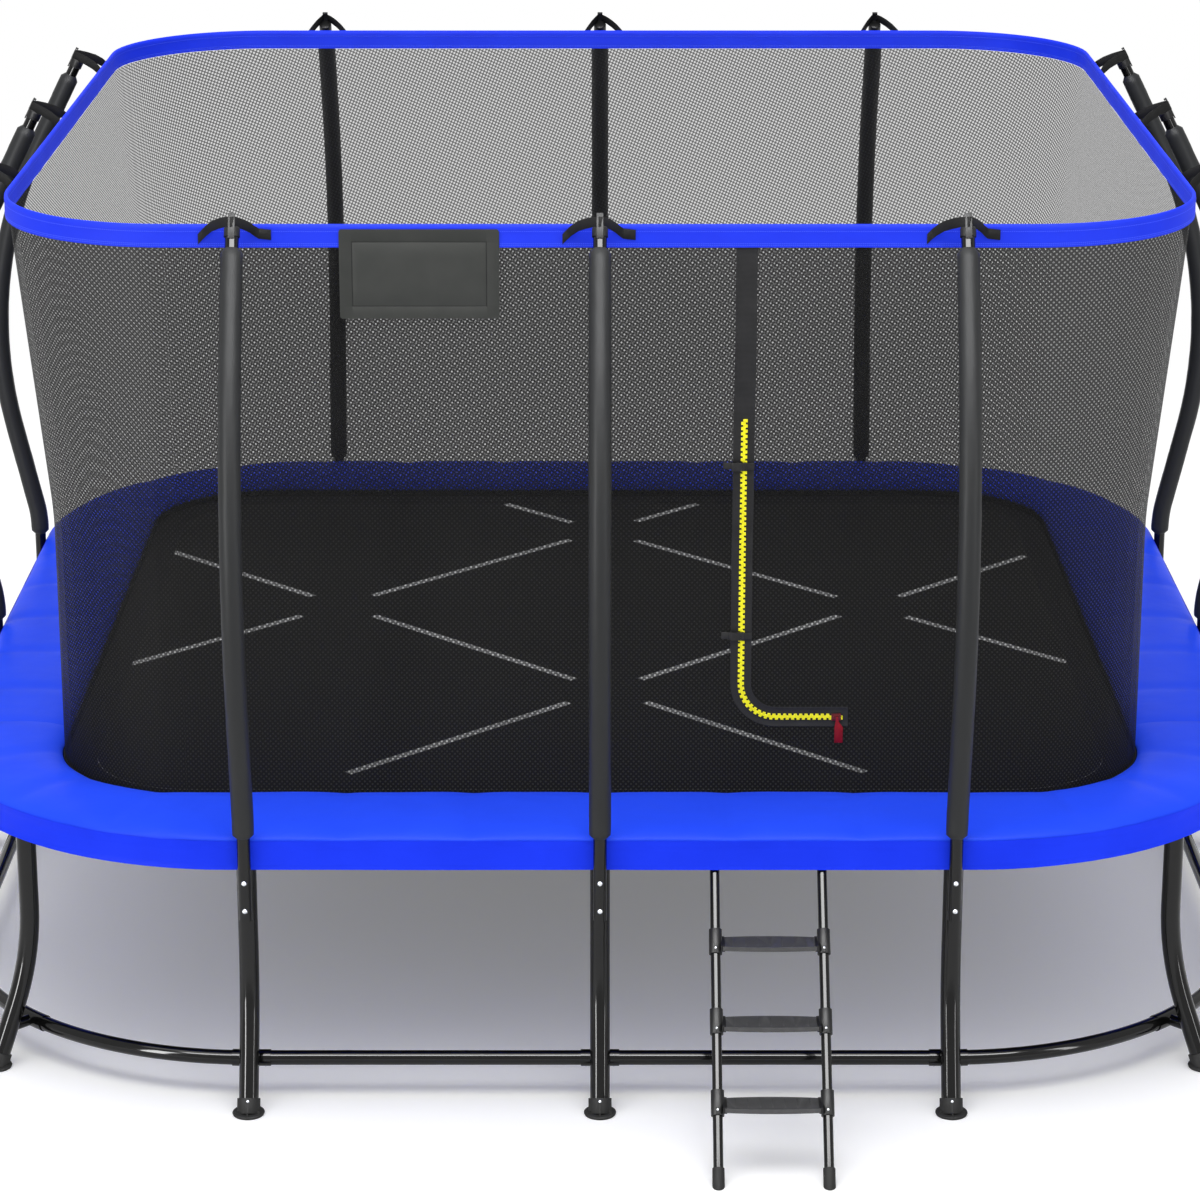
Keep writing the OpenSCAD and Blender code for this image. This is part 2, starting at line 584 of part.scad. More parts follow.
// Places along the rail, each a distance inside its centre line.
function rail_points(in) = concat(
    [for (i = [1:springs_half_side]) [rail_half - in, i*spring_pitch]],
    [for (i = [1:springs_half_side]) [rail_half - in, -i*spring_pitch]],
    [for (a = corner_turns) [pole_pitch, pole_pitch] + (corner_r - in)*[cos(a), sin(a)]]);
// A child at each spring, at the mat's edge, with +X towards the rail.
module each_spring(in) each_side() for (p = rail_points(in)) {
    m = edge_point(p, mat_half);
    translate([m[0], m[1], spring_h]) rotate([0, 0, atan2(p[1] - m[1], p[0] - m[0])]) {
        $span = norm(p - m);
        children();
    }
}
// A webbing tab on the hem that holds a V-shaped ring.
module v_rings() color("#b9bcbf") centred() each_spring(ring_in) {
    linear_extrude(3, center=true) difference() {
        polygon([[seat, -17], [4, -17], [ring_len, -3], [ring_len, 3], [4, 17], [seat, 17]]);
        polygon([[4, -12.5], [ring_len - 5, 0], [4, 12.5]]);
    }
}
// A closed coil body with a tapered shoulder and a hook at each end.
module springs() color("#c9ccce") centred() each_spring(hook_in) {
    start = ring_len + seat;
    end = $span - seat;
    rotate([0, 90, 0]) {
        translate([0, 0, start]) cylinder(d=spring_wire, h=14, $fn=16);
        translate([0, 0, start + 12]) cylinder(d1=7, d2=spring_d, h=9, $fn=24);
        translate([0, 0, start + 20.5]) cylinder(d=spring_d, h=end - start - 41, $fn=24);
        translate([0, 0, end - 21]) cylinder(d1=spring_d, d2=7, h=9, $fn=24);
        translate([0, 0, end - 14]) cylinder(d=spring_wire, h=14, $fn=16);
    }
}

// ---------------------------------------------------------------- pad
pad_in_r = pad_in_half - soft_c;
pad_out_c = pad_out_half - pad_out_r;          // centre of the pad's outer corners
// Rolled edges, as [distance from the edge, height], from the underside to the full thickness.
INNER_EDGE = [[8, 0], [1, 3], [0, 9], [4, 16], [16, 22], [40, 28.5], [78, 33], [130, 36]]/36*pad_t;
OUTER_EDGE = [[3, 0], [0, 3], [0, 10], [6, 17], [20, 23.5], [46, 29.5], [84, 33.5], [132, 36]]/36*pad_t;
function edge(points, at, way) = [for (p = points) [at + way*p[0], p[1]]];
function backwards(list) = [for (i = [len(list) - 1:-1:0]) list[i]];
module pad_side(a) color("#2747ff") centred() rotate([0, 0, a]) translate([-pad_out_c, 0, pad_low_h])
    rotate([90, 0, 90]) linear_extrude(2*pad_out_c) mirror([1, 0])
        polygon(concat(edge(INNER_EDGE, pad_in_half, 1), backwards(edge(OUTER_EDGE, pad_out_half, -1))));
module pad_front() pad_side(0);
module pad_right() pad_side(90);
module pad_back() pad_side(180);
module pad_left() pad_side(270);
// Everything outside the pad's inner edge, near one corner.
module outside_inner_edge() {
    wide = 900;
    arm = soft_c - pad_out_c;
    module section(at) polygon(concat(edge(INNER_EDGE, at, 1), [[wide, pad_t], [wide, 0]]));
    translate([soft_c, soft_c, 0]) {
        rotate_extrude(angle=90, $fn=180) section(pad_in_r);
        rotate([90, 0, 0]) linear_extrude(arm) section(pad_in_r);
        rotate([90, 0, 90]) translate([0, 0, -arm]) linear_extrude(arm) section(pad_in_r);
    }
}
module pad_corners() color("#2747ff") centred() for (a = [0:90:270]) rotate([0, 0, a])
    translate([0, 0, pad_low_h]) intersection() {
        outside_inner_edge();
        translate([pad_out_c + seat, pad_out_c + seat, 0]) rotate_extrude(angle=90, $fn=180)
            polygon(concat([[0, 0]], edge(OUTER_EDGE, pad_out_r - seat, -1), [[0, pad_t]]));
    }
skirt_h = pad_low_h - seat - skirt_low_h;
module skirt_run(a, x0, x1) centred() rotate([0, 0, a])
    translate([x0 + seat, -pad_out_half + 3, skirt_low_h]) cube([x1 - x0 - 2*seat, skirt_t, skirt_h]);
module skirt_sides() color("#1d36e6") {
    for (a = [90, 180, 270]) for (x = [-1, 0]) skirt_run(a, x == 0 ? 0 : -pad_out_c, x == 0 ? pad_out_c : 0);
    skirt_run(0, -pad_out_c, 0);
    skirt_run(0, pole_pitch, pad_out_c);
}
module skirt_ladder_bay() color("#1d36e6") skirt_run(0, 0, pole_pitch);
module skirt_corners() color("#1d36e6") centred() each_side() translate([pad_out_c, -pad_out_c, skirt_low_h])
    rotate([0, 0, -90]) rotate_extrude(angle=90, $fn=180) translate([pad_out_r - 3 - skirt_t, 0])
        square([skirt_t, skirt_h]);
// Flat webbing loops that tie the pad down to the top rail, each between two springs.
module pad_ties() color("#141414") centred() translate([0, 0, rail_h]) each_side()
    for (n = [-5.5, -2.35, 2.35, 5.5]) translate([n*spring_pitch - 10, -rail_half, 0]) rotate([90, 0, 90]) {
        linear_extrude(20) difference() {
            union() {
                circle(d=rail_d + 2*seat + 3);
                translate([-14, 0]) square([10, pad_low_h - rail_h - seat]);
            }
            circle(d=rail_d + 2*seat);
        }
    }

// ---------------------------------------------------------------- ladder
// A frame on the ladder: origin beside the top rail, +Z down the ladder, +Y to its front.
module on_ladder(x) translate([x, -rail_half + ladder_drop*cos(ladder_lean),
    rail_h - ladder_drop*sin(ladder_lean)]) rotate([180 - ladder_lean, 0, 0]) children();
module each_ladder_rail() for (s = [-1, 1]) translate([s*ladder_w/2, 0, 0]) children();
ladder_low = ladder_len - (ladder_d/2 + 3)*tan(ladder_lean) - 8;
module ladder_rails() color("#1c1c1e") centred() each_ladder_rail() on_ladder(ladder_x)
    translate([0, 0, ladder_start]) tube(ladder_d, tube_wall, ladder_low - ladder_start);
// Rubber end caps, cut level where they stand on the floor.
module ladder_feet() color("#0d0d0d") centred() each_ladder_rail() difference() {
    on_ladder(ladder_x) translate([0, 0, ladder_low - 30]) cylinder(d=ladder_d + 6, h=90);
    on_ladder(ladder_x) translate([0, 0, ladder_low - 31]) cylinder(d=ladder_d + 2*seat, h=31 + seat);
    translate([ladder_x, ladder_foot_y, -100]) cube([400, 400, 200], center=true);
}
hook_in_r = rail_d/2 + 0.4;
hook_out_r = hook_in_r + 5;
hook_t = 6;
tang_w = 22.6;
// A flat hook: over the rail, down behind the skirt, and on as a tang inside the ladder's rail.
module ladder_hooks() color("#1c1c1e") centred() each_ladder_rail()
    translate([ladder_x - hook_t/2, -rail_half, rail_h]) rotate([90, 0, 90]) linear_extrude(hook_t) difference() {
        union() {
            circle(r=hook_out_r);
            translate([-hook_out_r, -24]) square([2*hook_out_r, 24]);
            translate([ladder_drop*cos(ladder_lean), -ladder_drop*sin(ladder_lean)]) rotate(-90 - ladder_lean)
                translate([8, -tang_w/2]) square([104, tang_w]);
        }
        circle(r=hook_in_r);
        translate([-hook_in_r, -hook_in_r - 4]) square([2*hook_in_r, hook_in_r + 4]);
        translate([0, -80]) square([60, 80 - hook_in_r - 4]);
        translate([hook_in_r - 1, -60]) square([40, 48]);
    }

tread_first = 262;                             // from the ladder's origin to the first tread
tread_edge = 13;
tread_bow = 7;
// A bowed tread seen from above: both long edges swell towards the middle.
module tread_plan(grow) {
    len = ladder_w - ladder_d - 13;
    r = (len*len/4 + tread_bow*tread_bow)/(2*tread_bow);
    half = tread_depth/2 + grow;
    intersection() {
        translate([0, half - r]) circle(r=r, $fn=160);
        translate([0, r - half]) circle(r=r, $fn=160);
        square([len, 200], center=true);
    }
}
// A level frame at tread number i, on the ladder's axis, X to the right and Z up.
module at_tread(i) on_ladder(ladder_x) translate([0, 0, tread_first + i*tread_pitch])
    rotate([ladder_lean - 180, 0, 0]) children();
module each_tread() for (i = [0:2]) at_tread(i) children();
module ladder_treads() color("#2a2b2b") centred() each_tread() difference() {
    translate([0, -4, 0]) union() {
        translate([0, 0, -tread_edge]) linear_extrude(tread_edge) tread_plan(0);
    }
    translate([0, -4, -tread_edge - 1]) linear_extrude(tread_edge - 2.4) tread_plan(-3);
    for (i = [-3:3]) translate([i*34, -4, 0]) cube([3, tread_depth - 26, 1.6], center=true);
}
bracket_d = ladder_d + 9;
// Moulded brackets: a sleeve round the side rail and a socket that the tread's end sits in.
module tread_brackets() color("#232424") centred() for (i = [0:2], s = [-1, 1]) difference() {
    union() {
        on_ladder(ladder_x + s*ladder_w/2) translate([0, 0, tread_first + i*tread_pitch - 34])
            cylinder(d=bracket_d, h=72);
        at_tread(i) translate([s*(ladder_w/2 - bracket_d/2 - 1) - 5, -tread_depth/2 + 3, -tread_edge - 2.5])
            cube([10 + 1, tread_depth - 14, tread_edge + 5]);
    }
    on_ladder(ladder_x + s*ladder_w/2) translate([0, 0, tread_first + i*tread_pitch - 60])
        cylinder(d=ladder_d + 2*seat, h=140);
    at_tread(i) translate([0, -4, -tread_edge - seat]) linear_extrude(tread_edge + 2*seat)
        offset_plan();
}
// The tread's outline with its seating gap, for the sockets in the brackets.
module offset_plan() {
    tread_plan(seat);
    square([ladder_w - ladder_d - 13 + 2*seat, tread_depth - 2*tread_bow + 6], center=true);
}
module tread_screws() color("#c4c6c8") centred() for (i = [0:2], s = [-1, 1])
    on_ladder(ladder_x + s*ladder_w/2) translate([0, bracket_d/2, tread_first + i*tread_pitch + 24])
        rotate([-90, 0, 0]) button_head(8, 3);

top_rail_straights();
top_rail_corners();
rail_sockets();
side_legs();
corner_legs();
foot_pads();
foot_screws();
base_rail_straights();
base_rail_corners();
base_tees();
base_tee_screws();
pole_spacers();
pole_bolts();
pole_nuts();
lower_poles();
upper_poles();
foam_sleeves();
pole_caps();
cap_straps();
top_band();
hoop_rods();
net_front();
net_back();
net_left();
net_right();
net_corners();
net_foot_webbing();
door_binding();
zip_chain();
zip_slider();
zip_pull();
clip_sockets();
upper_clip_plug();
lower_clip_plug();
blank_panel();
mat();
mat_hem();
v_rings();
springs();
pad_front();
pad_back();
pad_left();
pad_right();
pad_corners();
skirt_sides();
skirt_corners();
skirt_ladder_bay();
pad_ties();
ladder_rails();
ladder_hooks();
ladder_treads();
tread_brackets();
tread_screws();
ladder_feet();
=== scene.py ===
# %% [markdown]
# # A square garden trampoline with a net and a ladder
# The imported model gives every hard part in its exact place: rails, legs, poles, bolts. This lesson
# adds what a factory would sew, mould or wind: the padded spring cover, the net, the jumping mat,
# the zip, the springs. The model is loaded first, because every new piece is fitted to it.

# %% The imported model
import json
import math
import bpy
import bmesh
from mathutils import Matrix, Vector, noise

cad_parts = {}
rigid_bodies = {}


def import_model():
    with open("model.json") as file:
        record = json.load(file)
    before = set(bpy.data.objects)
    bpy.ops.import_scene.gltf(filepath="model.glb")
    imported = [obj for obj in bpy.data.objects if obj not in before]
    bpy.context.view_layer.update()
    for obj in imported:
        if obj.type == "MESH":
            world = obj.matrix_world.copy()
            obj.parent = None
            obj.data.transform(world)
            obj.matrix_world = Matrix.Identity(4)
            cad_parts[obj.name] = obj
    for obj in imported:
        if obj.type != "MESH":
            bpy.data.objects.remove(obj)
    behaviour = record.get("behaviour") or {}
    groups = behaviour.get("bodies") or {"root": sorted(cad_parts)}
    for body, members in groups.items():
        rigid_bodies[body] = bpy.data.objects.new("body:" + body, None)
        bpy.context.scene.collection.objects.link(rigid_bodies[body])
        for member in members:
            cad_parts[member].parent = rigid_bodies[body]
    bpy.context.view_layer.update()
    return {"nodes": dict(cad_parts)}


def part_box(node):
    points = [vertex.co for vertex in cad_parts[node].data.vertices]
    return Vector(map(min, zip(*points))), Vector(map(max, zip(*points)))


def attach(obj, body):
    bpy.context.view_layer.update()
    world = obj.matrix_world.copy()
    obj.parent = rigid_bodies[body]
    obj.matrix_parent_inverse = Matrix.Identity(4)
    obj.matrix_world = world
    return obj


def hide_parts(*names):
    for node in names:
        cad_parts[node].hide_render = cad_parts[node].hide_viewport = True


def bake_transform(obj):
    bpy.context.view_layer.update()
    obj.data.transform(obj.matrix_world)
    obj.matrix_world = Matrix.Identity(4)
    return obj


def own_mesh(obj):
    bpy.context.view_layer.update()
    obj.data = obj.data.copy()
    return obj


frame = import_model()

nodes = frame["nodes"]

# %% [markdown]
# ## Where the middle is
# The ladder makes the whole thing longer in front than behind, so the middle of the frame is not
# at zero. The square top rail gives the true middle. Pieces are modelled about that middle, which
# keeps their numbers simple, and each one is moved back by this distance when it is finished.

# %% The middle of the frame
rail_low, rail_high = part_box("top_rail_straights")
MIDDLE_Y = (rail_low.y + rail_high.y)/2
print("middle of the frame at y =", round(MIDDLE_Y, 5))

# %% [markdown]
# ## Small tools
# An operator acts on everything that is selected, so each step starts from a clean selection.
# Vertices, edges and faces are then chosen by where they are, as you would by hand with a box.

# %% Selecting and shaping
def only(obj):
    """Leaves this object selected alone, in object mode."""
    if bpy.context.mode != "OBJECT":
        bpy.ops.object.mode_set(mode="OBJECT")
    bpy.ops.object.select_all(action="DESELECT")
    obj.select_set(True)
    bpy.context.view_layer.objects.active = obj

def started(add, **settings):
    """Deselects everything, then adds a primitive, a lamp or a camera."""
    bpy.ops.object.select_all(action="DESELECT")
    add(**settings)
    return bpy.context.object

def pick(obj, kind, test):
    """In edit mode, selects the verts, edges or faces whose middle passes the test."""
    only(obj)
    bpy.ops.object.mode_set(mode="EDIT")
    bpy.ops.mesh.select_mode(type={"verts": "VERT", "edges": "EDGE", "faces": "FACE"}[kind])
    bpy.ops.mesh.select_all(action="DESELECT")
    mesh = bmesh.from_edit_mesh(obj.data)
    for item in getattr(mesh, kind):
        place = item.co if kind == "verts" else (
            item.calc_center_median() if kind == "faces" else (item.verts[0].co + item.verts[1].co)/2)
        if test(place):
            item.select_set(True)
    mesh.select_flush_mode()
    bmesh.update_edit_mesh(obj.data)

def done(obj):
    """Back to object mode."""
    bpy.ops.object.mode_set(mode="OBJECT")
    return obj

def apply_modifier(obj, kind, **settings):
    """Adds a modifier with its settings and applies it at once."""
    only(obj)
    modifier = obj.modifiers.new(kind.title(), kind)
    for key, value in settings.items():
        setattr(modifier, key, value)
    bpy.ops.object.modifier_apply(modifier=modifier.name)

def smooth(obj, degrees=40):
    """Shades smooth, except where faces meet at more than this angle."""
    only(obj)
    bpy.ops.object.shade_smooth_by_angle(angle=math.radians(degrees))

def drawn(name, points, links=None, faces=()):
    """A mesh of drawn points, joined in a line unless links or faces say otherwise."""
    mesh = bpy.data.meshes.new(name)
    if links is None and not faces:
        links = [(i, i + 1) for i in range(len(points) - 1)]
    mesh.from_pydata(points, links or [], faces)
    obj = bpy.data.objects.new(name, mesh)
    bpy.context.scene.collection.objects.link(obj)
    return obj

def joined(pieces, name):
    """Joins several objects into one mesh."""
    only(pieces[0])
    for piece in pieces:
        piece.select_set(True)
    bpy.ops.object.join()
    pieces[0].name = pieces[0].data.name = name
    return pieces[0]

def copied(obj, matrix):
    """A copy with a mesh of its own, moved by the matrix."""
    other = obj.copy()
    other.data = obj.data.copy()
    other.data.transform(matrix)
    if matrix.determinant() < 0:
        other.data.flip_normals()
    bpy.context.scene.collection.objects.link(other)
    return other

def settle(obj, name, body, stands_for, finish=None):
    """Moves a finished piece to the frame's middle, names it, dresses it and fixes it to a body."""
    only(obj)
    bpy.ops.object.transform_apply(location=True, rotation=True, scale=True)
    obj.data.transform(Matrix.Translation((0, MIDDLE_Y, 0)))
    obj.name = obj.data.name = name
    if finish:
        obj.data.materials.clear()
        obj.data.materials.append(finish)
    if body:
        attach(obj, body)
    if stands_for:
        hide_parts(stands_for)
    return obj

# %% [markdown]
# ## Tools for finishes
# Each finish is a material made of nodes. Colours are written as the hex values that a paint
# chart would give, and one function turns them into the linear values that light is added up in.

# %% Colours and nodes
def paint(hex_colour):
    """An sRGB hex colour as linear red, green, blue and alpha."""
    parts = [int(hex_colour[i:i + 2], 16)/255 for i in (1, 3, 5)]
    return tuple(p/12.92 if p <= 0.04045 else ((p + 0.055)/1.055)**2.4 for p in parts) + (1.0,)

def new_finish(name, colour, roughness, **sockets):
    """A material whose plain values are set on the shader's own sockets."""
    finish = bpy.data.materials.new(name)
    finish.use_nodes = True
    shader = finish.node_tree.nodes["Principled BSDF"]
    shader.inputs["Base Color"].default_value = paint(colour)
    shader.inputs["Roughness"].default_value = roughness
    for key, value in sockets.items():
        shader.inputs[key.replace("_", " ")].default_value = value
    finish.diffuse_color = paint(colour)
    return finish, shader

def add_node(finish, kind, settings=None, inputs=None):
    """Adds one node. An input given as an output socket is linked, anything else is set."""
    node = finish.node_tree.nodes.new("ShaderNode" + kind)
    for key, value in (settings or {}).items():
        setattr(node, key, value)
    for key, value in (inputs or {}).items():
        if isinstance(value, bpy.types.NodeSocket):
            finish.node_tree.links.new(value, node.inputs[key])
        else:
            node.inputs[key].default_value = value
    return node

def link(finish, output, node, socket):
    finish.node_tree.links.new(output, node.inputs[socket])

# %% [markdown]
# ## Powder coat on steel tube
# The tubes are mild steel with a baked polyester powder coat in gloss black. The powder melts
# into a skin with a faint orange-peel waviness, about 2 mm across, so highlights are sharp but
# not mirror straight. A thin film of dust makes some stretches a little greyer and duller.

# %% Gloss black powder coat
def coated(name, colour, dusty, roughness, peel_mm=2.2):
    finish, shader = new_finish(name, colour, roughness, Coat_Weight=0.2, Coat_Roughness=0.04,
                                Specular_IOR_Level=0.2)
    place = add_node(finish, "TexCoord").outputs["Object"]
    dust = add_node(finish, "TexNoise", inputs={"Vector": place, "Scale": 9.0, "Detail": 4.0})
    tint = add_node(finish, "Mix", {"data_type": "RGBA"}, {0: dust.outputs["Fac"], 6: paint(colour),
                                                           7: paint(dusty)})
    dull = add_node(finish, "MapRange", inputs={"Value": dust.outputs["Fac"], "From Min": 0.3,
        "From Max": 0.75, "To Min": roughness - 0.05, "To Max": roughness + 0.08})
    peel = add_node(finish, "TexNoise", inputs={"Vector": place, "Scale": 1000/peel_mm/2, "Detail": 1.0})
    bump = add_node(finish, "Bump", inputs={"Height": peel.outputs["Fac"], "Strength": 0.04,
                                            "Distance": 0.0003})
    link(finish, tint.outputs[2], shader, "Base Color")
    link(finish, dull.outputs["Result"], shader, "Roughness")
    link(finish, bump.outputs["Normal"], shader, "Normal")
    return finish

powder_coat = coated("black_powder_coat", "#070707", "#0e0e0e", 0.11)

# %% [markdown]
# ## Zinc and spring steel
# Bolts and screws are cold-headed steel, barrel plated with bright zinc: pale, slightly blue and
# a little blotchy. The springs are drawn wire, galvanised, with fine lines along the wire.

# %% Plated steel
def plated(name, pale, dark, roughness, blotch_mm):
    finish, shader = new_finish(name, pale, roughness, Metallic=1.0)
    place = add_node(finish, "TexCoord").outputs["Object"]
    spots = add_node(finish, "TexNoise", inputs={"Vector": place, "Scale": 1000/blotch_mm, "Detail": 3.0})
    tint = add_node(finish, "Mix", {"data_type": "RGBA"}, {0: spots.outputs["Fac"], 6: paint(pale),
                                                           7: paint(dark)})
    dull = add_node(finish, "MapRange", inputs={"Value": spots.outputs["Fac"], "To Min": roughness - 0.06,
                                                "To Max": roughness + 0.12})
    link(finish, tint.outputs[2], shader, "Base Color")
    link(finish, dull.outputs["Result"], shader, "Roughness")
    return finish

zinc = plated("bright_zinc_plate", "#e4e7ea", "#c2c6cb", 0.26, 6)
spring_wire = plated("galvanised_spring_wire", "#c3c7ca", "#8f9498", 0.34, 3)

# %% [markdown]
# ## Moulded plastics and rubber
# Caps, buckles and brackets are injection moulded polypropylene from a spark-eroded tool, which
# leaves an even fine grain of about 0.3 mm. It is drawn at 1 mm here, so that it still shows.
# The feet are rubber: rougher, and chalky grey where they are scuffed.

# %% Moulded finishes
def moulded(name, colour, worn, roughness, grain_mm=1.0, depth=0.00008, coat=0.0):
    finish, shader = new_finish(name, colour, roughness, Coat_Weight=coat, Coat_Roughness=0.2,
                                Specular_IOR_Level=0.3)
    place = add_node(finish, "TexCoord").outputs["Object"]
    scuff = add_node(finish, "TexNoise", inputs={"Vector": place, "Scale": 40.0, "Detail": 6.0})
    patch = add_node(finish, "MapRange", inputs={"Value": scuff.outputs["Fac"], "From Min": 0.45,
                                                 "From Max": 0.8})
    tint = add_node(finish, "Mix", {"data_type": "RGBA"}, {0: patch.outputs["Result"], 6: paint(colour),
                                                           7: paint(worn)})
    grain = add_node(finish, "TexVoronoi", inputs={"Vector": place, "Scale": 1000/grain_mm})
    bump = add_node(finish, "Bump", inputs={"Height": grain.outputs["Distance"], "Strength": 0.35,
                                            "Distance": depth})
    link(finish, tint.outputs[2], shader, "Base Color")
    link(finish, bump.outputs["Normal"], shader, "Normal")
    return finish

black_plastic = moulded("grained_black_polypropylene", "#0f0f10", "#1c1c1d", 0.42)
tread_plastic = moulded("satin_dark_nylon", "#424243", "#4c4c4d", 0.36, 1.6, 0.00006, 0.25)
rubber = moulded("black_rubber", "#0c0c0c", "#1c1c1d", 0.72, 1.4, 0.00012)
glass_rod = moulded("pultruded_glass_rod", "#dcd7c6", "#c9c2ab", 0.38, 1.2)

# %% [markdown]
# ## Woven cloths
# One recipe serves every cloth: two sets of threads cross, each set a row of round ridges. Where
# the cover is smooth, such as coated vinyl, the threads only show as a faint relief. The pitch of
# the ridges comes from the real thread spacing. A slow second noise gives the uneven shade of
# dyed cloth, and a broad one the soft puckers of cloth that is not pulled flat.

# %% One weave for many cloths
RIDGE_STEP = 0.31416        # metres between the ridges of a wave texture at scale 1

def woven(name, colour, shade, pitch_mm, roughness, relief, blotch=3.0, pucker=0.0, contrast=0.5,
          pucker_scale=7.0, gloss=0.1, laid_flat=False):
    """The threads follow the cloth if it is laid flat, and otherwise run along all three axes."""
    finish, shader = new_finish(name, colour, roughness, Specular_IOR_Level=gloss)
    place = add_node(finish, "TexCoord").outputs["UV" if laid_flat else "Object"]
    threads = [add_node(finish, "TexWave", {"wave_type": "BANDS", "bands_direction": way},
                        {"Vector": place, "Scale": RIDGE_STEP*1000/pitch_mm}).outputs["Fac"]
               for way in ("XY" if laid_flat else "XYZ")]
    height = threads[0]
    for other in threads[1:]:
        height = add_node(finish, "Math", {"operation": "MULTIPLY" if laid_flat else "ADD"},
                          {0: height, 1: other}).outputs["Value"]
    dye = add_node(finish, "TexNoise", inputs={"Vector": place, "Scale": blotch, "Detail": 5.0})
    even = add_node(finish, "MapRange", inputs={"Value": dye.outputs["Fac"], "From Min": 0.3,
                                                "From Max": 0.7})
    weave = add_node(finish, "MapRange", inputs={"Value": height, "From Max": 1.0 if laid_flat else 3.0,
                                                 "To Max": contrast})
    both = add_node(finish, "Math", {"operation": "MULTIPLY_ADD", "use_clamp": True},
                    {0: even.outputs["Result"], 1: 1 - contrast, 2: weave.outputs["Result"]})
    tint = add_node(finish, "Mix", {"data_type": "RGBA"}, {0: both.outputs["Value"], 6: paint(shade),
                                                           7: paint(colour)})
    bump = add_node(finish, "Bump", inputs={"Height": height, "Strength": 0.5, "Distance": relief})
    if pucker:
        folds = add_node(finish, "TexNoise", inputs={"Vector": place, "Scale": pucker_scale, "Detail": 2.0})
        bump = add_node(finish, "Bump", inputs={"Height": folds.outputs["Fac"], "Strength": 1.0,
                                                "Distance": pucker, "Normal": bump.outputs["Normal"]})
    link(finish, tint.outputs[2], shader, "Base Color")
    link(finish, bump.outputs["Normal"], shader, "Normal")
    return finish

vinyl = woven("blue_coated_vinyl", "#2650ff", "#2149f4", 2.4, 0.42, 0.00006, 2.5, 0.004, contrast=0.15,
              gloss=0.04)
# The skirt is the cushions' vinyl painted a darker blue, as painted shade on its upright face.
skirt_vinyl_painted_shade = woven("blue_skirt_vinyl", "#1c3cf8", "#1836ec", 2.4, 0.46, 0.00006, 4.0, 0.003,
                    contrast=0.15, gloss=0.04)
band_cloth = woven("blue_oxford_band", "#1a3af2", "#1632e6", 1.6, 0.6, 0.0001, 6.0, 0.001, 0.25)
foam_cover = woven("grey_foam_cover", "#323334", "#292a2b", 2.0, 0.45, 0.0001, 14.0, 0.0008, 0.3,
                   pucker_scale=30.0, gloss=0.14, laid_flat=True)
webbing = woven("black_polyester_webbing", "#232323", "#0c0c0c", 2.2, 0.62, 0.0003, 30.0, contrast=0.6)
mat_cloth = woven("black_mat_polypropylene", "#20201e", "#151513", 4.0, 0.48, 0.00025, 5.0, contrast=0.55)
hem_cloth = woven("black_hem_webbing", "#1d1d1f", "#101011", 3.0, 0.6, 0.0003, 8.0, contrast=0.55)
binding_cloth = woven("black_door_binding", "#2f2f30", "#232324", 1.8, 0.62, 0.0002, 18.0, 0.0005, 0.4)
panel_cloth = woven("grey_panel_vinyl", "#3d3e3c", "#353735", 2.0, 0.5, 0.0001, 12.0, 0.001, 0.25)
red_webbing = woven("red_pull_webbing", "#97081f", "#6d0416", 2.0, 0.55, 0.0003, 30.0)
print(len(bpy.data.materials), "materials so far")

# %% [markdown]
# ## The net's mesh fabric
# The wall is a warp-knitted polyester net: black chains of stitches run up it, with columns of small
# holes between them. About a third of it is open. The front and its corners are drawn closer, a quarter
# open, with slightly darker yarn: that is painted shade for their outer face, which lies in shade,
# while the other sides are seen from their lit inner face. Real holes a few millimetres wide would need
# millions of faces, so the cloth is one thin sheet and the holes are in its finish, where the shader
# turns transparent.
# They lie where two slanting cosine waves cross, so each column is half a hole higher than the one
# before. The yarns are thin enough to let an eighth of the light through, and fine threads cross
# each hole, so neither is quite shut or open. The real columns are 6 mm apart, drawn at 7.5 mm. The
# cloth of the other sides is cut on the slant, so two nets in a row don't beat into broad stripes.

# %% A net with see-through holes
NET_ACROSS, NET_UP = 0.015, 0.0155                     # metres between holes along a row, up a column
HOLE_RIM, YARN_CLEAR, HOLE_CLEAR = 0.1, 0.13, 0.70     # softness of the edge, light let through

def knitted(name, colour, edge, turned=0):
    finish, shader = new_finish(name, colour, 0.6, Specular_IOR_Level=0.1)
    cloth = add_node(finish, "Mapping", inputs={"Vector": add_node(finish, "TexCoord").outputs["UV"],
                                                "Rotation": (0, 0, math.radians(turned))})
    place = add_node(finish, "SeparateXYZ", inputs={"Vector": cloth.outputs["Vector"]})
    across = add_node(finish, "Math", {"operation": "MULTIPLY"}, {0: place.outputs["X"],
                                                                  1: math.pi/NET_ACROSS})
    waves = []
    for slant in (1, -1):
        leaning = add_node(finish, "Math", {"operation": "MULTIPLY_ADD"},
                           {0: place.outputs["Y"], 1: slant*math.pi/NET_UP, 2: across.outputs["Value"]})
        waves.append(add_node(finish, "Math", {"operation": "COSINE"}, {0: leaning.outputs["Value"]}))
    crossed = add_node(finish, "Math", {"operation": "MULTIPLY"}, {0: waves[0].outputs["Value"],
                                                                   1: waves[1].outputs["Value"]})
    size = add_node(finish, "Math", {"operation": "ABSOLUTE"}, {0: crossed.outputs["Value"]})
    hole = add_node(finish, "MapRange", inputs={"Value": size.outputs["Value"],
        "From Min": edge - HOLE_RIM, "From Max": edge + HOLE_RIM, "To Min": YARN_CLEAR, "To Max": HOLE_CLEAR})
    clear = add_node(finish, "BsdfTransparent")
    mixed = add_node(finish, "MixShader", inputs={0: hole.outputs["Result"], 1: shader.outputs["BSDF"],
                                                  2: clear.outputs["BSDF"]})
    link(finish, mixed.outputs["Shader"], finish.node_tree.nodes["Material Output"], "Surface")
    return finish

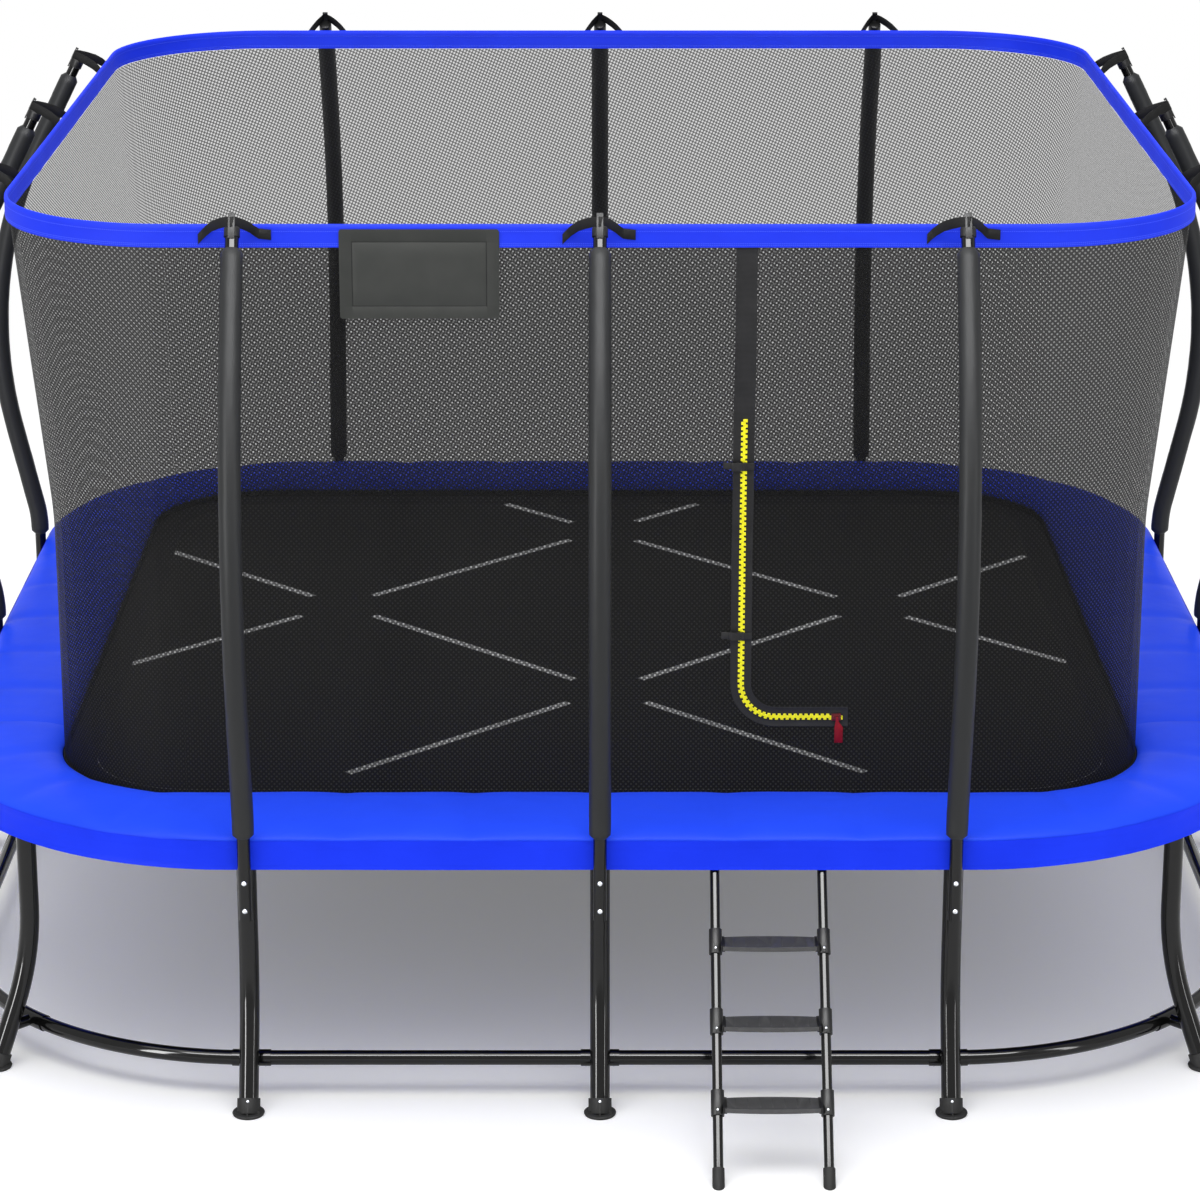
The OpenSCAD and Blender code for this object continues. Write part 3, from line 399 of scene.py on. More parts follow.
net_cloth = knitted("knitted_black_net", "#0c0c0d", 0.47, 22)
# The front and its two front corners get a closer net with darker yarn, as painted shade: their outer face is
# in shade.
front_net_painted_shade = knitted("knitted_black_net_painted_shade", "#0a0a0a", 0.69)

# %% [markdown]
# ## Carrying a section round the rounded square
# Band, net, hem and skirt all have one section that runs round the same rounded square. So the
# section is drawn once, at the left end of the front. It is extruded along each side and spun a
# quarter turn round each corner, four times, until it meets its own start. That keeps the corners
# truly round and the seams closed, which bending a long strip would not.

# %% Extrude along a side, spin round a corner
def evenly(start, end, count):
    return [start + (end - start)*i/count for i in range(count + 1)]

CORNER_AT = 1.2      # centres of the net's and the mat's rounded corners, from the middle
SPIN_WAY = -1        # a spin turns clockwise for a positive angle, seen from above

def quarter_turn(side):
    """Takes a piece from the front to side 1, 2 or 3, which are right, back and left."""
    return Matrix.Rotation(side*math.pi/2, 4, "Z")

def extrude(move):
    bpy.ops.mesh.extrude_region_move(TRANSFORM_OT_translate={"value": move})

def welded(obj, gap):
    """Merges what meets within the gap, turns all faces the same way and leaves edit mode."""
    bpy.ops.mesh.select_all(action="SELECT")
    bpy.ops.mesh.remove_doubles(threshold=gap)
    bpy.ops.mesh.normals_make_consistent(inside=False)
    return done(obj)

def carried_round(name, section, corner=CORNER_AT, stops=None, turns=10, closed=False):
    """Carries a section of (distance out, height) points round the square; stops divide a side."""
    stops = stops or evenly(-corner, corner, 12)
    last = len(section) - 1
    links = [(i, i + 1) for i in range(last)] + ([(last, 0)] if closed else [])
    obj = drawn(name, [(stops[0], -out, high) for out, high in section], links)
    pick(obj, "verts", lambda c: True)
    for side in range(4):
        turn = quarter_turn(side)
        for a, b in zip(stops, stops[1:]):
            extrude(turn @ Vector((b - a, 0, 0)))
        bpy.ops.mesh.spin(steps=turns, angle=SPIN_WAY*math.pi/2, axis=(0, 0, 1),
                          center=turn @ Vector((corner, -corner, 0)))
    return welded(obj, 0.0003)

def which_part(place, corner):
    """Which quarter a point is in, its place with that quarter turned to the front, and whether it
    is in the corner."""
    for quarter in range(4):
        turned = quarter_turn(-quarter) @ Vector(place)
        if turned.y < -corner and abs(turned.x) <= corner + 1e-5:
            return quarter, turned, False
        if turned.y < -corner and turned.x > corner:
            return quarter, turned, True
    return 0, Vector(place), False

def unwrapped_round(obj, corner, radius, height_of):
    """Lays the cloth flat in metres: along the rounded square, and up the section."""
    layer = obj.data.uv_layers.new(name="cloth")
    quarter_length = 2*corner + radius*math.pi/2
    for face in obj.data.polygons:
        quarter, _, bent = which_part(face.center, corner)
        for loop in face.loop_indices:
            co = obj.data.vertices[obj.data.loops[loop].vertex_index].co
            q = quarter_turn(-quarter) @ co
            along = 2*corner + radius*math.atan2(q.x - corner, -q.y - corner) if bent else q.x + corner
            layer.data[loop].uv = (quarter*quarter_length + along, height_of(co))

def in_part(quarter, corner, only_bent=False):
    """A test for the faces of one quarter, or only for those of its rounded corner."""
    def test(place):
        part, _, bent = which_part(place, corner)
        return part == quarter and (bent or not only_bent)
    return test

def cut_off(obj, test):
    """Separates the faces whose middle passes the test into an object of their own."""
    before = set(bpy.data.objects)
    pick(obj, "faces", test)
    bpy.ops.mesh.separate(type="SELECTED")
    done(obj)
    return (set(bpy.data.objects) - before).pop()

# %% [markdown]
# ## The net wall
# The net hangs straight from the mat to 1.54 m and then leans out to the band. Real cloth does not
# fold on a line there, so the section eases through the bend over 12 cm. The ring is made in one
# go, laid flat for the lattice while it is still whole, and only then cut into the four sides and
# four corners that it is sewn from: the holes run on across every seam.

# %% Net sides and corners
FOLD, EASE, LEAN = 1.54, 0.06, math.tan(math.radians(5.694))

def net_out(height):
    """Distance of the net from the middle at a height."""
    above = height - FOLD
    eased = 0 if above < -EASE else (above if above > EASE else (above + EASE)**2/(4*EASE))
    return 1.606 + LEAN*eased

heights = evenly(0.7694, 1.48, 4) + evenly(1.48, 1.6, 6)[1:] + evenly(1.6, 2.4277, 6)[1:]
net = carried_round("net", [(net_out(h), h) for h in heights])
unwrapped_round(net, CORNER_AT, 0.45, lambda co: co.z if co.z < FOLD else FOLD + (co.z - FOLD)*1.005)
net_corners = [cut_off(net, in_part(k, CORNER_AT, only_bent=True)) for k in range(4)]
net_sides = [cut_off(net, in_part(k, CORNER_AT)) for k in range(1, 4)]
# The two front corners wear the closer net with its painted shade, like the front.
for k, corner_net in enumerate(net_corners):
    settle(corner_net, f"net_corner_{k + 1}", "frame", "net_corners",
           front_net_painted_shade if k in (0, 3) else net_cloth)
for side_net, node in zip([net] + net_sides, ("net_front", "net_right", "net_back", "net_left")):
    settle(side_net, f"{node}_cloth", "frame", node, front_net_painted_shade if side_net is net else net_cloth)
print("net pieces:", [o.name for o in net_corners + [net] + net_sides])

# %% [markdown]
# ## The top band
# A strip of blue Oxford cloth is folded over the glass rods and sewn shut below them. The fold is
# fat where the rod sits and flat below. The section is drawn as that flattened loop, carried round,
# and then every point is pushed in or out by a millimetre or so, as sewn cloth never lies dead flat.

# %% Band
band_section = [(1.7052, 2.4285), (1.7058, 2.438), (1.7054, 2.452), (1.7052, 2.466), (1.7056, 2.474),
                (1.7062, 2.482), (1.7048, 2.4895), (1.7022, 2.4925), (1.7, 2.4932), (1.6978, 2.4925),
                (1.6952, 2.4895), (1.6938, 2.482), (1.6944, 2.474), (1.6948, 2.466), (1.6946, 2.452),
                (1.6942, 2.438), (1.6948, 2.4285), (1.7, 2.4278)]
band = carried_round("band", band_section, stops=evenly(-CORNER_AT, CORNER_AT, 40), turns=18, closed=True)
for vertex in band.data.vertices:
    out = Vector((vertex.co.x, vertex.co.y, 0)).normalized()
    slack = 0.0012*noise.noise(vertex.co*9.0) + 0.0006*noise.noise(vertex.co*31.0)
    vertex.co += out*slack*(1 if vertex.co.z < 2.478 else 0.4)
smooth(band, 60)
unwrapped_round(band, CORNER_AT, 0.5, lambda co: co.z)

THREAD_HALF = 0.0011
def stitched(finish, rows, pitch, colour):
    """Draws rows of raised stitches on a finish, at these heights on its flat layout."""
    shader = finish.node_tree.nodes["Principled BSDF"]
    place = add_node(finish, "SeparateXYZ", inputs={"Vector": add_node(finish, "TexCoord").outputs["UV"]})
    dash = add_node(finish, "Math", {"operation": "PINGPONG"}, {0: place.outputs["X"], 1: pitch/2})
    on = add_node(finish, "Math", {"operation": "GREATER_THAN"}, {0: dash.outputs["Value"], 1: pitch*0.14})
    thread = None
    for row in rows:
        near = add_node(finish, "Math", {"operation": "COMPARE"}, {0: place.outputs["Y"], 1: row,
                                                                   2: THREAD_HALF})
        both = add_node(finish, "Math", {"operation": "MULTIPLY"}, {0: near.outputs["Value"],
                                                                    1: on.outputs["Value"]})
        thread = both if thread is None else add_node(finish, "Math", {"operation": "MAXIMUM"},
            {0: thread.outputs["Value"], 1: both.outputs["Value"]})
    base = shader.inputs["Base Color"].links[0].from_socket
    tint = add_node(finish, "Mix", {"data_type": "RGBA"}, {0: thread.outputs["Value"], 6: base,
                                                           7: paint(colour)})
    bump = add_node(finish, "Bump", inputs={"Height": thread.outputs["Value"], "Strength": 0.6,
        "Distance": 0.0006, "Normal": shader.inputs["Normal"].links[0].from_socket})
    link(finish, tint.outputs[2], shader, "Base Color")
    link(finish, bump.outputs["Normal"], shader, "Normal")

stitched(band_cloth, [2.4345, 2.4395, 2.4735], 0.006, "#3f58ff")
settle(band, "top_band_cloth", "frame", "top_band", band_cloth)

# %% [markdown]
# ## The hem and the foot of the net
# The mat ends in a band of three layers of webbing, sewn flat with several rows, that the springs
# pull on. The net's foot is a narrow strip of the same webbing, standing up just outside the net.

# %% Hem and foot webbing
hem_section = [(1.5103, 0.7645), (1.5103, 0.768), (1.514, 0.7692), (1.56, 0.7692), (1.565, 0.7686),
               (1.57, 0.7692), (1.63, 0.7692), (1.635, 0.7686), (1.64, 0.7692), (1.686, 0.7692),
               (1.6897, 0.768), (1.6897, 0.7645), (1.66, 0.764), (1.6, 0.764), (1.54, 0.764)]
web_stops = evenly(-CORNER_AT, CORNER_AT, 24)
hem = carried_round("hem", hem_section, stops=web_stops, turns=14, closed=True)
smooth(hem, 50)
foot_section = [(1.6073, 0.7695), (1.6103, 0.7695), (1.6106, 0.775), (1.61, 0.78), (1.6105, 0.786),
                (1.6102, 0.7907), (1.6074, 0.7907), (1.6072, 0.78)]
foot_band = carried_round("foot_band", foot_section, stops=web_stops, turns=14, closed=True)
smooth(foot_band, 50)
settle(foot_band, "net_foot_strip", "frame", "net_foot_webbing", webbing)

# %% [markdown]
# ## The jumping mat
# The mat is one square of woven polypropylene with rounded corners, and it sinks when someone
# jumps. Its printed lines are lighter cloth, so they get faces of their own: two long cuts make a
# line's edges, short cuts make its ends, and the faces between them take the white finish. A grid
# of cuts gives the cloth enough points to sag. At last it is cut along its diagonals, because each
# quarter stretches from its own side down to the middle.

# %% Mat with printed lines
MAT_EDGE, MAT_TOP = 1.5097, 0.768
mat = started(bpy.ops.mesh.primitive_plane_add, size=2*MAT_EDGE, location=(0, 0, MAT_TOP))
pick(mat, "verts", lambda c: True)
bpy.ops.mesh.bevel(affect="VERTICES", offset=MAT_EDGE - CORNER_AT, segments=14)

def slice_at(point, normal):
    """Cuts every face along a plane through the point, at right angles to the normal."""
    bpy.ops.mesh.select_all(action="SELECT")
    bpy.ops.mesh.bisect(plane_co=(*point, 0)[:3], plane_no=(*normal, 0)[:3])

# Start and end of each stretch of line, in metres from the middle of the mat; three make a row
LINES = [((-1.546, -0.387), (-0.990, 0.137)), ((-0.780, 0.382), (-0.090, 1.024)),
         ((0.131, 1.278), (0.360, 1.503)), ((-0.349, 1.503), (-0.095, 1.265)),
         ((0.122, 1.024), (0.805, 0.360)), ((1.024, 0.137), (1.510, -0.337)),
         ((-1.548, 0.925), (-0.990, 0.360)), ((-0.753, 0.159), (-0.089, -0.517)),
         ((0.125, -0.749), (0.787, -1.362)), ((1.503, 0.840), (1.018, 0.371)),
         ((0.806, 0.148), (0.128, -0.507)), ((-0.094, -0.739), (-0.748, -1.370))]
LINE_HALF = 0.015
def rows_of_line():
    """The start, direction and three stretches of each row."""
    for i in range(0, len(LINES), 3):
        first = Vector(LINES[i][0])
        yield first, (Vector(LINES[i + 2][1]) - first).normalized(), LINES[i:i + 3]

for first, along, stretches in rows_of_line():
    across = Vector((-along.y, along.x))
    for side in (-1, 1):
        slice_at(first + across*side*LINE_HALF, across)
    for stretch in stretches:
        for end in stretch:
            slice_at(end, along)
for step in evenly(-1.4, 1.4, 20):
    slice_at((step, 0), (1, 0))
    slice_at((0, step), (0, 1))
slice_at((0, 0), (0.7071, 0.7071))
slice_at((0, 0), (0.7071, -0.7071))
done(mat)

def on_line(place):
    for first, along, stretches in rows_of_line():
        p = Vector(place[:2]) - first
        if abs(along.x*p.y - along.y*p.x) < LINE_HALF:
            for start, end in stretches:
                if (Vector(start) - first) @ along < p @ along < (Vector(end) - first) @ along:
                    return True
    return False

# %% [markdown]
# The faces on a line are given the white print. Then the mat is cut into its quarters.

# %% Print the lines, cut the quarters
line_print = woven("white_line_print", "#f6f6f6", "#77787a", 17.0, 0.5, 0.0002, 5.0, contrast=0.8)
mat.data.materials.append(mat_cloth)
mat.data.materials.append(line_print)
for face in mat.data.polygons:
    face.material_index = 1 if on_line(face.center) else 0

def which_quarter(place):
    """0 front, 1 right, 2 back, 3 left."""
    if abs(place[0]) < abs(place[1]):
        return 0 if place[1] < 0 else 2
    return 1 if place[0] > 0 else 3

quarters = [mat] + [cut_off(mat, lambda c, k=k: which_quarter(c) == k) for k in (1, 2, 3)]
for k, quarter in enumerate(quarters):
    settle(quarter, f"mat_quarter_{k + 1}", None, "mat")
    out = quarter_turn(k) @ Vector((0, -1, 0))
    middle = Vector((0, MIDDLE_Y, MAT_TOP))
    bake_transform(quarter)
settle(hem, "mat_hem_webbing", "frame", "mat_hem", hem_cloth)
print("mat faces", sum(len(q.data.polygons) for q in quarters))

# %% [markdown]
# ## The padded spring cover
# The cover is eight foam cushions in coated vinyl: a long one on each side and one round each
# corner. One side cushion is modelled as a tube of stations along its length, with its section
# rounded over at both edges. The sewn rows stay where they are and the rest is blown out gently by
# a cloth simulation, which gives the small dents along every seam. Then it is copied three times.

# %% One long cushion
PAD_LOW, PAD_THICK = 0.7805, 0.036
INNER_EDGE = [(8, 0), (1, 3), (0, 9), (4, 16), (16, 22), (40, 28.5), (78, 33), (130, 36)]
OUTER_EDGE = [(3, 0), (0, 3), (0, 10), (6, 17), (20, 23.5), (46, 29.5), (84, 33.5), (132, 36)]
PAD_IN, PAD_OUT, PAD_CORNER, PAD_R = 1.612, 1.976, 1.046, 0.930

def pad_section(wide):
    """Points round a cushion's section, as (distance from the inner edge, height)."""
    top = [(x/1000, z/1000) for x, z in INNER_EDGE]
    far = [(wide - x/1000, z/1000) for x, z in reversed(OUTER_EDGE)]
    across = [(top[-1][0] + (far[0][0] - top[-1][0])*i/4, PAD_THICK) for i in (1, 2, 3)]
    under = [(far[-1][0] + (top[0][0] - far[-1][0])*i/7, 0.0) for i in range(1, 7)]
    return [(x, PAD_LOW + z) for x, z in top + across + far + under]

def cushion(name, stations):
    """A closed cushion from stations, each a function that places (distance, height) in space."""
    section = pad_section(PAD_OUT - PAD_IN)
    count = len(section)
    points = [place(x, z) for place in stations for x, z in section]
    faces = [(s*count + i, s*count + (i + 1) % count, (s + 1)*count + (i + 1) % count, (s + 1)*count + i)
             for s in range(len(stations) - 1) for i in range(count)]
    faces += [tuple(range(count)), tuple(range(len(points) - 1, len(points) - count - 1, -1))]
    obj = drawn(name, points, [], faces)
    pick(obj, "faces", lambda c: True)
    bpy.ops.mesh.normals_make_consistent(inside=False)
    return done(obj)

GROWTH, BLOWN_FRAMES = 0.006, 20      # how far the vinyl may give, and how long it is blown
def puffed(obj, pinned):
    """Blows a cushion out as cloth. The pinned points stay, and no other moves beyond the limit."""
    before = [v.co.copy() for v in obj.data.vertices]
    group = obj.vertex_groups.new(name="sewn")
    for vertex in obj.data.vertices:
        group.add([vertex.index], pinned(vertex.co), "REPLACE")
    cloth = obj.modifiers.new("Cloth", "CLOTH")
    cloth.settings.use_pressure = True
    cloth.settings.uniform_pressure_force = 4
    cloth.settings.effector_weights.gravity = 0
    cloth.settings.tension_stiffness = cloth.settings.compression_stiffness = 12
    cloth.settings.bending_stiffness = 0.4
    cloth.settings.vertex_group_mass = "sewn"
    cloth.point_cache.frame_start, cloth.point_cache.frame_end = 1, BLOWN_FRAMES
    for number in range(1, BLOWN_FRAMES + 1):
        bpy.context.scene.frame_set(number)
    only(obj)
    bpy.ops.object.modifier_apply(modifier="Cloth")
    bpy.context.scene.frame_set(1)
    moved = 0
    for vertex, old in zip(obj.data.vertices, before):
        step = vertex.co - old
        if step.length > GROWTH:
            vertex.co = old + step.normalized()*GROWTH
        moved = max(moved, (vertex.co - old).length)
    print(obj.name, "blown out by up to", round(moved*1000, 1), "mm")

def upholstered(obj, to_seam, pinned, is_end, seeds):
    """Dents the top along its seams, makes it uneven, blows it out and rounds it off."""
    for vertex in obj.data.vertices:
        co = vertex.co
        if co.z > PAD_LOW + 0.004:
            broad = 0.0024*noise.noise(Vector((co.x*5, co.y*9, seeds[0])))
            fine = 0.0009*noise.noise(Vector((co.x*17, co.y*21, seeds[1])))
            dent = 0.0022*max(0, 1 - to_seam(co)/0.03)
            co.z += (broad + fine - dent)*min(1, (co.z - PAD_LOW)/0.02)
    puffed(obj, pinned)
    pick(obj, "edges", is_end)
    bpy.ops.transform.edge_crease(value=1)
    done(obj)
    apply_modifier(obj, "SUBSURF", levels=1)
    smooth(obj, 70)

side_stops = evenly(-PAD_CORNER, PAD_CORNER, 74)
side_pad = cushion("side_pad", [(lambda x, z, s=s: (s, -PAD_IN - x, z)) for s in side_stops])

SEAMS = (-0.74, -0.36, 0.0, 0.36, 0.74)      # sewn rows across the side cushion
SEWN_HALF = 0.012
def to_side_seam(co):
    return min(abs(co.x - seam) for seam in SEAMS)

def side_end(co):
    return abs(co.x) > PAD_CORNER - 0.001

def sewn_side(co):
    if co.z < PAD_LOW + 0.0005 or side_end(co):
        return 1.0
    edge = min(-co.y - PAD_IN, PAD_OUT + co.y)
    return 1.0 if to_side_seam(co) < SEWN_HALF else (0.35 if edge < 0.004 else 0.0)

upholstered(side_pad, to_side_seam, sewn_side, side_end, (1.7, 4))

# %% [markdown]
# The corner cushion fans out: its stations share the inner arc, but reach further outwards, so the
# section is stretched to the outer arc. Both arcs are divided evenly, from one sewn end to the other.

# %% Corner cushions, copies and the sewn seams
arm, turn = CORNER_AT - PAD_CORNER, 0.412
path = arm*2 + turn*math.pi/2
def inner_place(t):
    """A point on the inner edge, t metres along from the front end."""
    if t < arm:
        return Vector((PAD_CORNER + t, -PAD_IN, 0))
    if t > path - arm:
        return Vector((PAD_IN, -CORNER_AT + (t - path + arm), 0))
    a = (t - arm)/turn
    return Vector((CORNER_AT + turn*math.sin(a), -CORNER_AT - turn*math.cos(a), 0))

def outer_place(share):
    a = share*math.pi/2
    return Vector((PAD_CORNER + PAD_R*math.sin(a), -PAD_CORNER - PAD_R*math.cos(a), 0))

def corner_station(share):
    a, b = inner_place(share*path), outer_place(share)
    return lambda x, z: tuple(a + (b - a)*(x/(PAD_OUT - PAD_IN)) + Vector((0, 0, z)))

corner_pad = cushion("corner_pad", [corner_station(s) for s in evenly(0, 1, 44)])
CORNER_SEAMS = (0.25, 0.5, 0.75)
def corner_share(co):
    return math.atan2(co.x - PAD_CORNER, -co.y - PAD_CORNER)/(math.pi/2)

MEAN_ARC = 1.2                               # metres along the middle of the corner cushion
def to_corner_seam(co):
    return min(abs(corner_share(co) - s) for s in CORNER_SEAMS)*MEAN_ARC

def corner_end(co):
    return co.x < PAD_CORNER + 0.001 or co.y > -PAD_CORNER - 0.001

def sewn_corner(co):
    share = corner_share(co)
    if co.z < PAD_LOW + 0.0005 or share < 0.004 or share > 0.996:
        return 1.0
    return 1.0 if min(abs(share - s) for s in CORNER_SEAMS) < SEWN_HALF else 0.0

upholstered(corner_pad, to_corner_seam, sewn_corner, corner_end, (8.1, 2))

side_pads, corner_pads = [side_pad], [corner_pad]
for k in (1, 2, 3):
    side_pads.append(copied(side_pad, quarter_turn(k)))
    corner_pads.append(copied(corner_pad, quarter_turn(k)))
for piece, node in zip(side_pads, ("pad_front", "pad_right", "pad_back", "pad_left")):
    settle(piece, f"{node}_cushion", "frame", node, vinyl)
for k, piece in enumerate(corner_pads):
    settle(piece, f"pad_corner_cushion_{k + 1}", "frame", "pad_corners", vinyl)
print("cushion faces", len(side_pad.data.polygons), len(corner_pad.data.polygons))

# %% [markdown]
# ## The skirt
# A band of the same vinyl hangs from the cushions' outer edge and hides the springs. Its finish is
# that vinyl painted a darker blue, as painted shade on the upright face. It is held at its top seam
# and free below, so it waves a little between the poles. The stretch above the ladder is a piece of
# its own, because the ladder's rails push against it when the ladder swings out.

# %% Skirt
SKIRT_OUT, SKIRT_R = 1.9735, 0.9275
SKIRT_FLAT, SKIRT_TOP = 0.089, 0.788
POLES_AT = (-1, 0, 1)                 # along each side, in metres from its middle
skirt_shape = [(-1, 0.7004), (1.6, 0.7015), (1.2, 0.7045), (0, 0.7065), (0, 0.722), (0, 0.738),
               (0, 0.754), (0, 0.7655), (1.2, 0.7695), (1.8, 0.7745), (2.2, 0.7802), (2.8, 0.7838),
               (3.1, SKIRT_TOP)]          # millimetres out, metres up
skirt_section = [(SKIRT_OUT + off/1000, height) for off, height in skirt_shape]
skirt_stops = sorted(set(evenly(-PAD_CORNER, 0, 30) + evenly(0, 1.0, 30) + [1.0, PAD_CORNER]))
skirt = carried_round("skirt", skirt_section, corner=PAD_CORNER, stops=skirt_stops, turns=24)
for vertex in skirt.data.vertices:
    quarter, q, bent = which_part(vertex.co, PAD_CORNER)
    along = PAD_CORNER + SKIRT_R*math.atan2(q.x - PAD_CORNER, -q.y - PAD_CORNER) if bent else q.x
    free = max(0, (0.775 - vertex.co.z)/0.075)
    slack = 1.0 if bent else min(1, min(abs(along - p) for p in POLES_AT)/0.12)
    wave = 0.5 + 0.9*noise.noise(Vector((along*3.1 + quarter*7, vertex.co.z*4, 0.5)))
    out = Vector((q.x - PAD_CORNER, q.y + PAD_CORNER, 0)).normalized() if bent else Vector((0, -1, 0))
    shift = free*(0.0004 + 0.0026*slack*max(0, min(1, wave)))
    vertex.co += (quarter_turn(quarter) @ out)*shift
smooth(skirt, 60)
unwrapped_round(skirt, PAD_CORNER, SKIRT_R, lambda co: co.z)
bay = cut_off(skirt, lambda c: 0 < c.x < 1.0 and c.y < -1.5)
for k in range(4):
    piece = cut_off(skirt, in_part(k, PAD_CORNER, only_bent=True))
    settle(piece, f"skirt_corner_{k + 1}", "frame", "skirt_corners", skirt_vinyl_painted_shade)
rest = [skirt] + [cut_off(skirt, in_part(k, PAD_CORNER)) for k in (1, 2, 3)]
lengths = [1.092, 2.092, 2.092, 2.092]
for piece, name, length in zip(rest, ("front", "right", "back", "left"), lengths):
    settle(piece, f"skirt_{name}", "frame", "skirt_sides", skirt_vinyl_painted_shade)
settle(bay, "skirt_ladder_bay_cloth", "frame", "skirt_ladder_bay", skirt_vinyl_painted_shade)
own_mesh(bay)
print("skirt pieces", [o.name for o in rest], bay.name)

# %% [markdown]
# ## Foam sleeves on the poles
# Each pole wears a tube of soft foam in a thin grey cover. The sleeve is made as the pole itself
# is bent: a circle is extruded up the straight run, spun round the centre of each bend, and
# extruded again. Then it is pushed about by a millimetre, because foam never lies dead straight,
# and its rims are rolled in to the tube.

# %% A sleeve that follows the pole
LOW_BEND, LONG_BEND = math.radians(12.5), math.radians(39.5)
LOW_R, LONG_R = 0.4, 1.5
POLE_OUT, POLE_LOW = 2.0, 0.56
RUNS = [0.270, LOW_R*LOW_BEND, 0.2903, LONG_R*LONG_BEND, 0.3304]
def pole_at(s):
    """Distance out, height and lean of the pole's axis, s metres up from its lower end."""
    out, high, lean = POLE_OUT, POLE_LOW + min(s, RUNS[0]), 0.0
    s -= RUNS[0]
    if s > 0:
        lean = min(s/LOW_R, LOW_BEND)
        out, high, s = out + LOW_R*(1 - math.cos(lean)), high + LOW_R*math.sin(lean), s - RUNS[1]
    if s > 0:
        run = min(s, RUNS[2])
        out, high, s = out + run*math.sin(lean), high + run*math.cos(lean), s - RUNS[2]
    if s > 0:
        later = lean - min(s/LONG_R, LONG_BEND)
        out += LONG_R*(math.cos(later) - math.cos(lean))
        high += LONG_R*(math.sin(lean) - math.sin(later))
        lean, s = later, max(0, s - RUNS[3])
        out, high = out + s*math.sin(lean), high + s*math.cos(lean)
    return out, high, lean

def along_the_pole(co):
    """How far up the pole a point is, found by halving."""
    low, high = 0.0, 2.02
    for _ in range(24):
        s = (low + high)/2
        out, z, lean = pole_at(s)
        if (-co.y - out)*math.sin(lean) + (co.z - z)*math.cos(lean) > 0:
            low = s
        else:
            high = s
    return low

print("the pole bends at", round(RUNS[0], 3), "and", round(sum(RUNS[:3]), 3), "m from its lower end")

# %% [markdown]
# The sleeve is a circle that follows the same runs and bends, inside its own two ends.

# %% Extrude the sleeve up the pole
SLEEVE_LOW, SLEEVE_TOP, SLEEVE_R = 0.246, 1.9571, 0.031
sleeve = started(bpy.ops.mesh.primitive_circle_add, vertices=28, radius=SLEEVE_R,
                 location=(0, -POLE_OUT, POLE_LOW + SLEEVE_LOW))
bpy.ops.object.transform_apply(location=True)
pick(sleeve, "verts", lambda c: True)

def push_up(length, lean, steps):
    for _ in range(steps):
        extrude((0, -math.sin(lean)*length/steps, math.cos(lean)*length/steps))

push_up(RUNS[0] - SLEEVE_LOW, 0, 2)
bpy.ops.mesh.spin(steps=5, angle=-SPIN_WAY*LOW_BEND, axis=(-1, 0, 0),
                  center=(0, -POLE_OUT - LOW_R, POLE_LOW + RUNS[0]))
push_up(RUNS[2], LOW_BEND, 18)
out, high, lean = pole_at(sum(RUNS[:3]))
bpy.ops.mesh.spin(steps=64, angle=-SPIN_WAY*LONG_BEND, axis=(1, 0, 0),
                  center=(0, -out + LONG_R*math.cos(lean), high + LONG_R*math.sin(lean)))
push_up(SLEEVE_TOP - sum(RUNS[:4]), LOW_BEND - LONG_BEND, 17)
welded(sleeve, 0.0002)

# %% [markdown]
# The cover's knit has to follow the bends, so the sleeve is laid flat: round it in one direction,
# up the pole in the other. The same two measures then place the lumps, the sewn seam at the back
# and the rolled rims.

# %% Lay the cover flat, then age it
layer = sleeve.data.uv_layers.new(name="cloth")
way_up = [along_the_pole(v.co) for v in sleeve.data.vertices]
around = []
for vertex, s in zip(sleeve.data.vertices, way_up):
    out, high, lean = pole_at(s)
    side = (-vertex.co.y - out)*math.cos(lean) - (vertex.co.z - high)*math.sin(lean)
    around.append(math.atan2(vertex.co.x, side))
for face in sleeve.data.polygons:
    angles = [around[v] for v in face.vertices]
    wrapped = max(angles) - min(angles) > math.pi
    for loop, angle in zip(face.loop_indices, angles):
        layer.data[loop].uv = ((angle + (2*math.pi if wrapped and angle < 0 else 0))*SLEEVE_R,
                               way_up[sleeve.data.loops[loop].vertex_index])
for vertex, s, angle in zip(sleeve.data.vertices, way_up, around):
    out, high, lean = pole_at(s)
    middle = Vector((0, -out, high))
    spoke = vertex.co - middle
    lump = 0.0007*noise.noise(Vector((math.sin(angle)*2, math.cos(angle)*2, s*16))) \
        + 0.0005*noise.noise(Vector((math.sin(angle)*1.5, s*45, 3)))
    rim = min(s - SLEEVE_LOW, SLEEVE_TOP - s)
    rolled = -0.0105*max(0, 1 - rim/0.0015) - 0.0022*max(0, 1 - rim/0.019)
    seam = -0.0008*max(0, 1 - abs(abs(angle) - math.pi)/0.12)
    vertex.co = middle + spoke*((spoke.length + lump + rolled + seam)/spoke.length)
smooth(sleeve, 70)

def all_round(obj, places):
    """Copies a piece to these places along each side, in place of the one that was modelled."""
    copies = [copied(obj, quarter_turn(side) @ Matrix.Translation((x, 0, 0)))
              for side in range(4) for x in places]
    bpy.data.objects.remove(obj)
    return copies

sleeves = all_round(sleeve, POLES_AT)
for k, piece in enumerate(sleeves):
    settle(piece, f"foam_sleeve_{k + 1:02d}", "frame", "foam_sleeves", foam_cover)
print("sleeves", len(sleeves), "faces each", len(sleeves[0].data.polygons))

# %% [markdown]
# ## Straps at the pole caps
# A webbing strap loops behind the tongue of each cap and is sewn to the band on both sides. One is
# drawn as two edges of a ribbon with faces between them, thickened, softened and copied.

